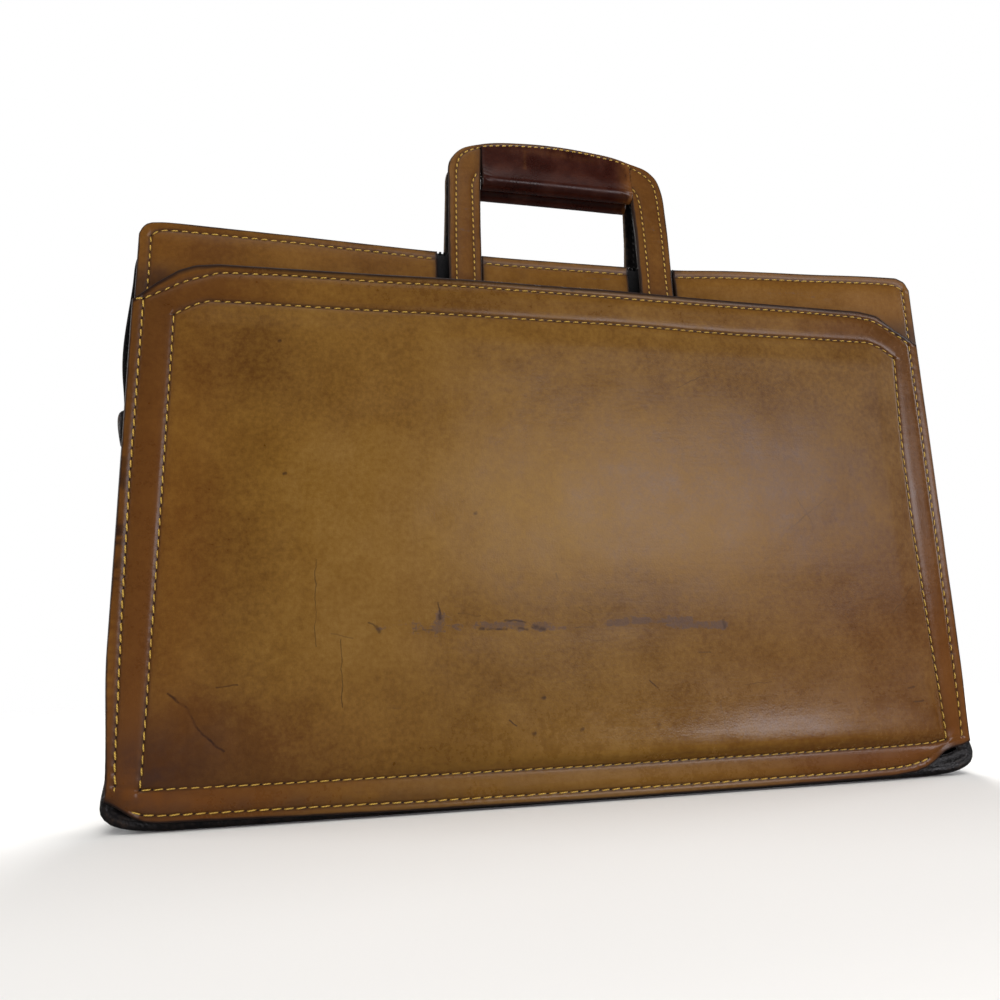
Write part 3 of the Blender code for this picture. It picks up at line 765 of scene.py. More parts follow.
def weave(name):
    """Black twill zip tape."""
    g = Graph(name)
    split = g.new("ShaderNodeSeparateXYZ")
    g.links.new(g.where(), split.inputs[0])
    x, y, z = split.outputs
    u = g.math("ADD", x, y)
    k = 2 * math.pi / 0.00085
    rib = g.math("SINE", g.math("MULTIPLY", u, k))
    twill = g.math("SINE", g.math("MULTIPLY", g.math("ADD", g.math("MULTIPLY", u, 0.5), z), k * 1.15))
    cloth = g.math("ADD", g.math("MULTIPLY", g.math("MULTIPLY", rib, twill), 0.5), 0.5)
    dust = g.noise(140.0, 5.0, 0.65)
    color = g.mix(g.math("MULTIPLY", cloth, g.span(dust, 0.3, 0.75, 0.35, 1.0)), (0.0025, 0.0025, 0.0030), (0.0120, 0.0115, 0.0135))
    color = g.mix(g.span(dust, 0.62, 0.75, 0.0, 0.10), color, (0.06, 0.05, 0.04))
    return g.end(color, g.span(dust, 0.2, 0.8, 0.72, 0.92), g.bump(cloth, 0.6, 0.0003), IOR=1.35, Sheen_Weight=0.04, Sheen_Roughness=0.5)


def aged_metal(name, bright, dull):
    g = Graph(name)
    mid, fine = g.noise(300.0, 4.0, 0.6), g.noise(1500.0, 3.0, 0.6)
    color = g.mix(g.span(mid, 0.35, 0.68), dull, bright)
    return g.end(color, g.span(fine, 0.3, 0.7, 0.26, 0.48), g.bump(fine, 0.2, 0.0002), Metallic=1.0)


# ------------------------------------------------------------------ pockets
def pinch(x, z):
    return PINCH * eased(PINCH_ACROSS, x) * eased(PINCH_UP, z)


def bulge(x, z):
    return MOUTH_BULGE * eased(BULGE_ACROSS, x) * eased(BULGE_UP, z)


def soft(table, t, w=1.2):
    return (linear(table, t - w) + 2 * linear(table, t) + linear(table, t + w)) / 4


def solve_grid(cols, rows, gu, gv, z0=130.0):
    """Grid points whose columns follow the upright guides gu(z) and rows the guides gv(x)."""
    X = np.zeros((len(cols), len(rows)))
    Z = np.full(X.shape, z0)
    for _ in range(9):
        at_z = [g(Z) for g in gu]
        for i, (k, f) in enumerate(cols):
            X[i] = at_z[k][i] * (1 - f) + at_z[k + 1][i] * f
        at_x = [g(X) for g in gv]
        for j, (k, f) in enumerate(rows):
            Z[:, j] = at_x[k][:, j] * (1 - f) + at_x[k + 1][:, j] * f
    return X, Z


def slant(g, x):
    """Cosine of the slope of a guide, to turn a height above it into a distance."""
    return 1.0 / np.sqrt(1.0 + ((g(x + 1.0) - g(x - 1.0)) / 2.0) ** 2)


def pocket_lift(x, z, seed):
    """Gentle unevenness of the pocket's face, the same on the sheet and under its stitches."""
    wave = 0.22 * clouds(x, z, 46.0, seed, 2) * ramp(20.0, 90.0, z)
    wave = wave + 0.5 * blob(x, z, -214.0, 26.0, 10.0, 20.0)
    curl = 1.9 * blob(x, z, 204.0, 10.0, 9.0, 6.5) + 0.8 * blob(x, z, -205.0, 13.0, 8.0, 6.0)
    return wave + curl


def pocket_face(x, z, seed):
    return SEAM_Y + bulge(x, z) + pocket_lift(x, z, seed)


def pocket_guides():
    gu = [lambda z: left_edge(z, POCKET_LEFT), lambda z: soft(OUTER_LEFT, z), lambda z: soft(INNER_LEFT, z),
          lambda z: soft(INNER_RIGHT, z), lambda z: soft(OUTER_RIGHT, z), lambda z: right_edge(z, POCKET_RIGHT)]
    gv = [lambda x: soft(LEATHER_BOTTOM, x), lambda x: soft(OUTER_BOTTOM, x), lambda x: soft(INNER_BOTTOM, x),
          lambda x: soft(INNER_TOP, x), lambda x: soft(OUTER_TOP, x), lambda x: soft(POCKET_TOP, x)]
    return gu, gv


def frame_path(gu, gv, l, r, b, t, step=0.5):
    """Closed seam along upright guides l, r and level guides b, t, from its lower left corner."""
    def corner(u, v, x, z):
        for _ in range(12):
            x = float(gu[u](np.array(z)))
            z = float(gv[v](np.array(x)))
        return x, z
    lb, lt = corner(l, b, -205.0, 15.0), corner(l, t, -205.0, 240.0)
    rb, rt = corner(r, b, 205.0, 15.0), corner(r, t, 205.0, 240.0)
    zs = np.arange(lb[1], lt[1], step)
    left = np.stack([gu[l](zs), zs], axis=1)
    xs = np.arange(lt[0], rt[0], step)
    top = np.stack([xs, gv[t](xs)], axis=1)
    zs = np.arange(rt[1], rb[1], -step)
    right = np.stack([gu[r](zs), zs], axis=1)
    xs = np.arange(rb[0], lb[0], -step)
    bottom = np.stack([xs, gv[b](xs)], axis=1)
    return left, top, right, bottom


def build_pocket(label, side, seed, mats, thread_mats):
    gu, gv = pocket_guides()
    near = (0.14, 0.36, 0.7, 1.2)
    by_seam = (0.5, 1.0, 1.7)
    cols = axis_shares([
        (5.2, spread(5.2, 1.2, near, (0.5, 1.0))), (13.4, spread(13.4, 1.5, by_seam, by_seam)),
        (394.0, spread(394.0, 1.42, by_seam, by_seam)), (13.4, spread(13.4, 1.5, by_seam, by_seam)),
        (5.0, spread(5.0, 1.2, (0.5, 1.0), near) )])
    rows = axis_shares([
        (4.1, spread(4.1, 1.0, near, (0.5, 1.0))), (11.3, spread(11.3, 1.5, by_seam, by_seam)),
        (225.0, spread(225.0, 1.42, by_seam, by_seam)), (15.8, spread(15.8, 1.5, by_seam, by_seam)),
        (4.0, spread(4.0, 1.0, (0.5, 1.0), near))])
    X, Z = solve_grid(cols, rows, gu, gv)
    bottom, top = gv[0], gv[5]
    edge = np.minimum.reduce([X - gu[0](Z), gu[5](Z) - X, (Z - bottom(X)) * slant(bottom, X), (top(X) - Z) * slant(top, X)])
    edge = np.maximum(edge, 0.0)

    def seam_of(l, r, b, t):
        zl, zh = gv[b](X) - 0.8, gv[t](X) + 0.8
        xl, xh = gu[l](Z) - 0.8, gu[r](Z) + 0.8
        tall, wide = (Z > zl) & (Z < zh), (X > xl) & (X < xh)
        side_d = np.minimum(np.abs(X - gu[l](Z)), np.abs(X - gu[r](Z)))
        flat_d = np.minimum(np.abs(Z - gv[b](X)) * slant(gv[b], X), np.abs(Z - gv[t](X)) * slant(gv[t], X))
        return np.minimum(np.where(tall, side_d, 99.0), np.where(wide, flat_d, 99.0))

    corner_cut = 6.0 * np.maximum(ramp(-199.5, -203.0, X), ramp(189.0, 192.5, X)) * ramp(20.5, 17.5, Z)
    seam = np.minimum(seam_of(1, 4, 1, 4) + corner_cut, seam_of(2, 3, 2, 3))
    inside = np.minimum.reduce([X - gu[2](Z), gu[3](Z) - X, (Z - gv[2](X)) * slant(gv[2], X), (gv[3](X) - Z) * slant(gv[3], X)])

    # seams, needle slots
    outer_runs = frame_path(gu, gv, 1, 4, 1, 4)
    inner_runs = frame_path(gu, gv, 2, 3, 2, 3)
    left, top_run, right, low = outer_runs
    outer_runs = (left[left[:, 1] > 15.5], top_run, right[right[:, 1] > 19.5], low[(low[:, 0] > -201.0) & (low[:, 0] < 190.0)])
    outer_path = [walk(p, s) for p, s in zip(outer_runs, (4.95, 4.7, 4.95, 5.25))]
    inner_path = [walk(np.vstack([p, q[:1]]), s) for p, q, s in
                  zip(inner_runs, inner_runs[1:] + inner_runs[:1], (4.9, 4.75, 4.95, 4.95))]
    holes = np.concatenate(outer_path + inner_path)
    tree = KDTree(len(holes))
    for k, p in enumerate(holes):
        tree.insert((p[0], p[1], 0.0), k)
    tree.balance()
    dimple = np.zeros(X.shape)
    for i, j in np.argwhere(seam < 2.6):
        d = tree.find((X[i, j], Z[i, j], 0.0))[2]
        dimple[i, j] = math.exp(-(d / 0.95) ** 2)

    base = pocket_face(X, Z, seed)
    tight = ramp(70.0, 30.0, Z) * ramp(-90.0, 10.0, X) if side < 0 else 0.0 * X
    crown = 0.95 * ramp(0.02, 1.0, inside / (15.0 - 9.5 * tight))
    field = ramp(5.0, 55.0, inside)
    wave = 0.75 * clouds(X, Z, 105.0, seed + 1, 2) * field + 0.20 * clouds(X, Z, 26.0, seed + 3, 2) * ramp(2.0, 24.0, inside)
    band = np.where(inside < 0, 1.0, 0.0) * ramp(0.0, 4.0, seam) * ramp(1.2, 4.0, edge)
    low = np.where(inside < 0, 1.0, 0.0) * ramp(30.0, 22.0, Z) * ramp(-205.0, -190.0, X)
    from_low = (Z - gv[1](X)) * slant(gv[1], X)
    roll = 0.42 * ramp(0.2, 2.2, from_low) * ramp(11.0, 2.4, from_low)
    relief = crown + wave + band * (0.22 * (1.0 - low) + roll * low)
    if side < 0:
        # soft rise above the lower seam on the right, dents and creases low on the left
        dent = -1.15 * blob(X, Z, 112.0, 60.0, 105.0, 21.0) - 0.35 * blob(X, Z, -60.0, 82.0, 70.0, 9.0)
        dent = dent * ramp(0.5, 14.0, inside) + 2.55 * blob(X, Z, 74.0, 20.5, 150.0, 12.5) * ramp(0.3, 5.5, inside)
        relief, wave = relief + dent, wave + dent
        crease = ((-188.5, 58.0), (-180.5, 52.0), (-176.5, 46.0), (-175.5, 43.0), (-171.5, 40.0), (-168.5, 36.0), (-164.5, 32.4))
        relief = relief - 0.30 * np.exp(-(distance_to(crease, X, Z) / 1.3) ** 2)
        fold = ((-207.5, 20.0), (-188.5, 16.5), (-168.5, 13.6))
        relief = relief - 0.35 * np.exp(-(distance_to(fold, X, Z) / 1.6) ** 2)
        relief = relief + 0.25 * np.exp(-(distance_to([(x, z + 3.0) for x, z in fold], X, Z) / 2.2) ** 2)
    else:
        relief = relief + 0.6 * blob(X, Z, -40.0, 60.0, 120.0, 26.0) * ramp(1.0, 16.0, inside)
    # upright wrinkles in the lower corners and short ones along the left border
    wrinkle = np.sin(X * 1.15 + 1.5 * noise(X, Z, 9.0, seed)) * (blob(X, Z, 188.0, 7.0, 9.0, 5.0) + 0.7 * blob(X, Z, -196.0, 9.0, 8.0, 5.0))
    cockle = np.sin(Z * 1.35 + 2.2 * noise(X, Z, 7.0, seed + 2)) * blob(X, Z, -212.0, 20.0, 5.0, 12.0)
    relief = relief + 0.22 * wrinkle + 0.20 * cockle
    groove = 0.42 * np.exp(-(seam / 0.85) ** 2) + 0.26 * dimple + 0.10 * np.exp(-(seam / 2.2) ** 2)
    outer = base + relief - groove - edge_drop(edge, 0.75)
    inner = np.maximum(base + 0.25 * crown + 0.9 * wave - POCKET_T, PANEL_Y - pinch(X, Z) + 0.2) + edge_drop(edge, 0.45)

    # colour fields
    band_mask = ramp(1.5, -1.5, inside)
    # tone mixes the hide's uneven colour with painted shade on both pockets: it is darker towards the left and right
    # edges and the bottom and lighter in the middle of the field, as light falls on it
    tone_and_shade = 0.50 + 0.0 * X
    if side < 0:
        tone_and_shade = tone_and_shade + 0.10 * blob(X, Z, -40.0, 150.0, 90.0, 46.0) + 0.06 * blob(X, Z, 60.0, 135.0, 90.0, 50.0)
        tone_and_shade = tone_and_shade - 0.10 * blob(X, Z, -190.0, 120.0, 40.0, 130.0) - 0.08 * blob(X, Z, 190.0, 120.0, 34.0, 120.0)
        tone_and_shade = tone_and_shade - 0.05 * blob(X, Z, 0.0, 232.0, 260.0, 22.0) - 0.05 * blob(X, Z, 0.0, 92.0, 150.0, 16.0)
        tone_and_shade = tone_and_shade - 0.14 * blob(X, Z, -190.0, 30.0, 40.0, 26.0) - 0.05 * blob(X, Z, -140.0, 215.0, 50.0, 22.0)
        tone_and_shade = tone_and_shade - 0.15 * blob(X, Z, -170.0, 28.0, 75.0, 30.0) - 0.14 * blob(X, Z, 165.0, 85.0, 60.0, 55.0)
        tone_and_shade = tone_and_shade - 0.06 * blob(X, Z, 60.0, 90.0, 60.0, 30.0) - 0.05 * ramp(40.0, 180.0, X) - 0.05 * ramp(60.0, 20.0, Z)
        tone_and_shade = tone_and_shade - 0.07 * blob(X, Z, -110.0, 190.0, 60.0, 16.0) - 0.06 * blob(X, Z, -60.0, 60.0, 60.0, 16.0)
        tone_and_shade = tone_and_shade - 0.09 * blob(X, Z, 120.0, 200.0, 70.0, 40.0) - 0.05 * blob(X, Z, 30.0, 205.0, 80.0, 22.0) - 0.08 * blob(X, Z, -182.0, 214.0, 40.0, 26.0)
        tone_and_shade = tone_and_shade - 0.06 * blob(X, Z, -187.0, 26.0, 26.0, 20.0) + 0.10 * blob(X, Z, 172.0, 84.0, 34.0, 34.0) - 0.04 * blob(X, Z, -20.0, 100.0, 90.0, 26.0)
        tone_and_shade = tone_and_shade - 0.10 * blob(X, Z, 46.0, 158.0, 90.0, 36.0)
        tone_and_shade = tone_and_shade - 0.20 * blob(X, Z, -202.5, 28.0, 6.5, 14.0) - 0.08 * blob(X, Z, -190.0, 24.0, 18.0, 12.0) - 0.08 * blob(X, Z, -150.0, 8.0, 50.0, 4.0)
        warm = 0.30 * ramp(-20.0, 190.0, X) * ramp(210.0, 60.0, Z) + 0.40 * blob(X, Z, -190.0, 120.0, 22.0, 120.0) + 0.25 * blob(X, Z, -170.0, 30.0, 60.0, 24.0)
        stain_and_shade = 1.0 * blob(X, Z, -200.0, 24.0, 16.0, 16.0) + 0.5 * blob(X, Z, -120.0, 9.0, 90.0, 5.0) + 0.35 * blob(X, Z, -175.0, 38.0, 14.0, 14.0)
        line = eased(((2.0, 82.8), (18.0, 84.0), (30.0, 84.9), (45.0, 85.0), (54.0, 83.4), (66.0, 82.9), (79.0, 82.0)), X)
        half = eased(((2.0, 0.8), (18.0, 2.4), (30.0, 2.6), (40.0, 1.8), (52.0, 3.4), (62.0, 2.2), (74.0, 2.6), (79.0, 2.2)), X)
        smear = np.exp(-(np.abs(Z - line - 0.7 * noise(X, Z, 7.0, 3)) / half) ** 2.6) * ramp(0.0, 22.0, X) * ramp(80.5, 77.5, X)
        smear = smear * (0.80 + 0.30 * noise(X, Z, 6.0, 8)) + 0.35 * blob(X, Z, 77.0, 82.0, 2.6, 2.8) + 0.25 * blob(X, Z, 22.0, 84.0, 7.0, 2.4)
        bits = 0.60 * blob(X, Z, -80.0, 84.0, 15.0, 3.4) + 0.72 * blob(X, Z, -68.0, 84.5, 4.5, 4.5) + 0.50 * blob(X, Z, -52.0, 84.0, 10.0, 3.2)
        bits = bits + 0.62 * blob(X, Z, -35.0, 84.0, 12.0, 3.0) + 0.80 * blob(X, Z, -20.0, 82.6, 4.6, 1.7) + 0.4 * blob(X, Z, -8.0, 82.6, 6.0, 1.6)
        bits = np.minimum(bits, 0.85) * (0.85 + 0.65 * noise(X, Z, 5.0, 4))
        scuff = (0.92 * smear + bits + 0.75 * blob(X, Z, -69.5, 88.0, 1.8, 4.5)
                 + 0.16 * blob(X, Z, 186.0, 93.0, 14.0, 10.0) + 0.12 * blob(X, Z, 130.0, 140.0, 16.0, 12.0))
    else:
        tone_and_shade = tone_and_shade + 0.12 * blob(X, Z, -30.0, 150.0, 130.0, 80.0) - 0.10 * blob(X, Z, 180.0, 110.0, 45.0, 130.0)
        tone_and_shade = tone_and_shade - 0.10 * blob(X, Z, -190.0, 130.0, 35.0, 130.0) - 0.08 * blob(X, Z, 20.0, 18.0, 260.0, 24.0)
        warm = 0.28 * ramp(60.0, -190.0, X) * ramp(220.0, 40.0, Z)
        stain_and_shade = 0.7 * blob(X, Z, 196.0, 22.0, 18.0, 14.0) + 0.4 * blob(X, Z, 60.0, 9.0, 120.0, 5.0)
        scuff = 0.8 * blob(X, Z, 60.0, 64.0, 70.0, 3.0) + 0.30 * blob(X, Z, -120.0, 120.0, 22.0, 8.0)
    tone_and_shade = tone_and_shade - band_mask * (0.07 + 0.20 * ramp(-120.0, -210.0, X) + 0.13 * ramp(120.0, 205.0, X) + 0.12 * ramp(90.0, 160.0, X) * ramp(40.0, 15.0, Z) - 0.16 * ramp(40.0, 8.0, Z) * ramp(150.0, 60.0, X)) + 0.05 * band_mask * ramp(6.0, 1.0, edge)
    warm = np.clip(warm + band_mask * (0.08 + (0.20 + 0.22 * ramp(120.0, 20.0, Z)) * (ramp(-60.0, -200.0, X) + ramp(60.0, 200.0, X)) + 0.12 * ramp(40.0, 15.0, Z)), 0, 1)
    polish = np.clip(blob(X, Z, 80.0, 30.0, 145.0, 17.0) + 0.4 * blob(X, Z, 40.0, 6.0, 150.0, 5.0), 0, 1) if side < 0 else blob(X, Z, -60.0, 70.0, 110.0, 40.0)
    polish = np.maximum(polish, band_mask * (0.30 + 0.4 * ramp(165.0, 195.0, X)))
    tone_and_shade = tone_and_shade + (0.16 * ramp(-209.0, -211.5, X) * ramp(120.0, 60.0, Z) * (1.0 + 0.5 * np.sin(Z * 1.3 + 2.0 * noise(X, Z, 8.0, 2))) if side < 0 else 0.0)
    # painted shade: dark cracks on the left border, a dark rim along the pocket's top edge where it meets the panel,
    # the hollows under the curled lower corners and a band along the bottom edge
    cracks = ramp(0.05, 0.5, noise(X * 0.4, Z, 2.6, 5)) * blob(X, Z, -213.4, 135.0, 2.6, 36.0)
    rim = ramp(2.7, 1.5, (top(X) - Z) * slant(top, X))
    painted_shade = 0.96 * rim + 0.9 * cracks + 0.75 * blob(X, Z, 204.0, 12.0, 9.0, 5.0) + 0.6 * blob(X, Z, -210.0, 13.0, 8.0, 6.0) + 0.35 * np.exp(-((Z - bottom(X)) / 2.2) ** 2)
    fields = {"edge": edge, "seam": seam, "tone_and_shade": tone_and_shade, "warm": warm, "stain_and_shade": np.clip(stain_and_shade, 0, 1),
              "scuff": np.clip(scuff, 0, 1), "painted_shade": np.clip(painted_shade, 0, 1), "polish": np.clip(polish, 0, 1)}
    nu, nv = X.shape
    keep = np.ones((nu - 1, nv - 1), bool)
    cu = sorted(set(range(0, nu, 5)) | {nu - 1})
    cv = sorted(set(range(0, nv, 5)) | {nv - 1})
    sheet = leather_sheet(label + "_pocket_leather", side, X, Z, outer, inner, keep, cu, cv, mats, fields)
    place(sheet, [label + "_pocket"])

    height = lambda x, z: pocket_face(x, z, seed) - 0.30
    tilt = 0.10
    runs = [(p, height, (0.62, 0.95, 0.80, 0.56)[k], -tilt if k == 2 else tilt, (0.38, 0.33, 0.35, 0.32)[k]) for k, p in enumerate(outer_path)]
    runs += [(p, height, (0.70, 0.95, 0.50, 0.56)[k], tilt, (0.33, 0.31, 0.32, 0.28)[k]) for k, p in enumerate(inner_path)]
    # a loose thread end at the upper left, where the seam climbs over the pocket's edge
    runs.append((np.array([(-209.6, 241.9), (-213.2, 241.2)]), lambda x, z: pocket_face(x, z, seed) - 0.05, 0.2, 0.0, 0.40))
    stitches = stitching(label + "_pocket_stitching", side, runs, thread_mats, 11 + seed)
    place(stitches)
    return X.shape


# ------------------------------------------------------------------ tall panels
def panel_lift(x, z, seed):
    wave = 0.45 * clouds(x, z, 60.0, seed, 2) * ramp(238.0, 262.0, z) * ramp(0.0, 20.0, np.minimum(x - PANEL_LEFT, PANEL_RIGHT - x))
    return wave


def panel_face(x, z, seed):
    return PANEL_Y - pinch(x, z) + panel_lift(x, z, seed)


def build_panel(label, side, seed, mats, thread_mats):
    near = (0.14, 0.36, 0.7, 1.2)
    by_seam = (0.5, 1.0, 1.7)
    stops = [PANEL_LEFT, -208.6, SLOTS[0][0], SLOTS[0][1], SLOTS[1][0], SLOTS[1][1], 214.6, PANEL_RIGHT]
    gu = [(lambda z, s=s: np.full(np.shape(z), s)) for s in stops]
    gu[0] = lambda z: left_edge(z, PANEL_LEFT)
    gu[-1] = lambda z: PANEL_RIGHT - 2.6 * ramp(70.0, 19.0, z)
    w = [b - a for a, b in zip(stops, stops[1:])]
    cols = axis_shares([
        (w[0], spread(w[0], 1.2, near, (0.5, 1.0))), (w[1], spread(w[1], 1.6, by_seam, near)), (w[2], spread(w[2], 2.4)),
        (w[3], spread(w[3], 1.6, near, near)), (w[4], spread(w[4], 2.4)), (w[5], spread(w[5], 1.6, near, by_seam)),
        (w[6], spread(w[6], 1.0, (0.5, 1.0), near))])
    gv = [lambda x: soft(LEATHER_BOTTOM, x), lambda x: np.full(np.shape(x), 228.0), lambda x: np.full(np.shape(x), SLOT_FLOOR),
          lambda x: soft(PANEL_SEAM, x), lambda x: soft(PANEL_TOP, x, 0.8)]
    rows = axis_shares([
        (225.0, spread(225.0, 9.0, near)), (36.4, spread(36.4, 1.7, (), near)), (15.5, spread(15.5, 1.5, near[:1], by_seam)),
        (4.2, spread(4.2, 1.0, (0.5, 1.0), near))])
    X, Z = solve_grid(cols, rows, gu, gv, 240.0)
    bottom, top, seam_z = gv[0], gv[4], gv[3]
    nu, nv = X.shape
    edge = np.minimum.reduce([X - gu[0](Z), gu[-1](Z) - X, (Z - bottom(X)) * slant(bottom, X), (top(X) - Z) * slant(top, X)])
    for a, b in SLOTS:
        across = np.where(X <= (a + b) / 2, a - X, X - b)
        edge = np.minimum(edge, np.where(Z > SLOT_FLOOR, np.maximum(across, 0.0), np.hypot(np.maximum(across, 0.0), SLOT_FLOOR - Z)))
    edge = np.maximum(edge, 0.0)
    keep = np.ones((nu - 1, nv - 1), bool)
    row_k = [k for k, f in rows]
    for i in range(nu - 1):
        if cols[i][0] in (2, 4):
            for j in range(nv - 1):
                if rows[j][0] >= 2:
                    keep[i, j] = False
    seam_side = np.minimum(np.abs(X - stops[1]), np.abs(X - stops[-2]))
    seam = np.minimum(np.where(Z < seam_z(X) + 0.6, seam_side, 99.0),
                      np.where((X > stops[1] - 0.6) & (X < stops[-2] + 0.6), np.abs(Z - seam_z(X)) * slant(seam_z, X), 99.0))
    xs = np.arange(-208.6, 214.6, 0.5)
    line = np.stack([xs, seam_z(xs)], axis=1)
    left = np.stack([np.full(60, -208.6), np.linspace(245.5, line[0, 1], 60)], axis=1)
    right = np.stack([np.full(60, 214.6), np.linspace(line[-1, 1], 247.5, 60)], axis=1)
    parts = [left, line[xs < SLOTS[0][0] - 1.6], line[(xs > SLOTS[0][1] + 1.8) & (xs < SLOTS[1][0] - 1.8)], line[xs > SLOTS[1][1] + 1.6], right]
    paths = [walk(p, 4.7) for p in parts]
    holes = np.concatenate(paths)
    tree = KDTree(len(holes))
    for k, p in enumerate(holes):
        tree.insert((p[0], p[1], 0.0), k)
    tree.balance()
    dimple = np.zeros(X.shape)
    for i, j in np.argwhere((seam < 2.6) & (Z > 240.0)):
        dimple[i, j] = math.exp(-(tree.find((X[i, j], Z[i, j], 0.0))[2] / 0.95) ** 2)

    base = panel_face(X, Z, seed)
    shoulder = 0.35 * ramp(0.5, 6.0, seam) * (Z > 236.0)
    groove = 0.40 * np.exp(-(seam / 0.85) ** 2) + 0.24 * dimple
    outer = base + shoulder - groove - edge_drop(edge, 0.7)
    inner = base - PANEL_T + edge_drop(edge, 0.4)
    upper = ramp(236.0, 250.0, Z)
    # tone mixes uneven colour with painted shade, darker lower down towards the pocket's top
    tone_and_shade = 0.44 - 0.05 * ramp(262.0, 240.0, Z) + 0.05 * blob(X, Z, 0.0, 275.0, 60.0, 14.0) + 0.06 * blob(X, Z, 120.0 * -side, 270.0, 90.0, 20.0) - 0.06 * blob(X, Z, -200.0, 262.0, 26.0, 30.0) - 0.12 * blob(X, Z, -180.0, 270.0, 16.0, 7.0) - 0.08 * blob(X, Z, -100.0, 272.0, 22.0, 6.0)
    warm = 0.22 * upper + 0.18 * ramp(-150.0, -210.0, X) + 0.10 * ramp(120.0, 200.0, X)
    # the stain mask holds small stains and, in its last term, painted shade towards the pocket's top
    stain_and_shade = 0.7 * blob(X, Z, -20.0, 275.0, 2.4, 2.0) + 0.5 * blob(X, Z, -206.0, 255.0, 9.0, 5.0) + 0.25 * ramp(268.0, 258.0, Z)
    scuff = 0.20 * blob(X, Z, 30.0, 276.0, 30.0, 3.0) + 0.18 * blob(X, Z, 150.0, 272.0, 40.0, 4.0)
    # painted shade on the panel below the pocket's top edge and round the edges of the handle slots
    painted_shade = 0.55 * ramp(262.0, 250.0, Z) * ramp(200.0, 240.0, Z)
    for a, b in SLOTS:
        painted_shade = np.maximum(painted_shade, 0.6 * np.exp(-(np.maximum(edge, 0.0) / 2.2) ** 2) * ((X > a - 6) & (X < b + 6) & (Z > 258.0)))
    fields = {"edge": edge, "seam": seam, "tone_and_shade": tone_and_shade, "warm": np.clip(warm, 0, 1), "stain_and_shade": np.clip(stain_and_shade, 0, 1),
              "scuff": np.clip(scuff, 0, 1), "painted_shade": np.clip(painted_shade, 0, 1)}
    marks_u = {0, nu - 1} | {i for i in range(1, nu) if cols[i][0] != cols[i - 1][0]}
    cu = sorted(marks_u | {i for i in range(0, nu, 4) if all(abs(i - m) > 1 for m in marks_u)})
    marks_v = {0, nv - 1} | {j for j in range(1, nv) if row_k[j] != row_k[j - 1]}
    cv = sorted(marks_v | {j for j in range(0, nv, 3) if all(abs(j - m) > 1 for m in marks_v)})
    sheet = leather_sheet(label + "_panel_leather", side, X, Z, outer, inner, keep, cu, cv, mats, fields, 0.12)
    place(sheet, [label + "_panel"])
    height = lambda x, z: panel_face(x, z, seed) - 0.28
    runs = [(p, height, 0.78, 0.10, 0.35) for p in paths]
    place(stitching(label + "_panel_stitching", side, runs, thread_mats, 31 + seed))


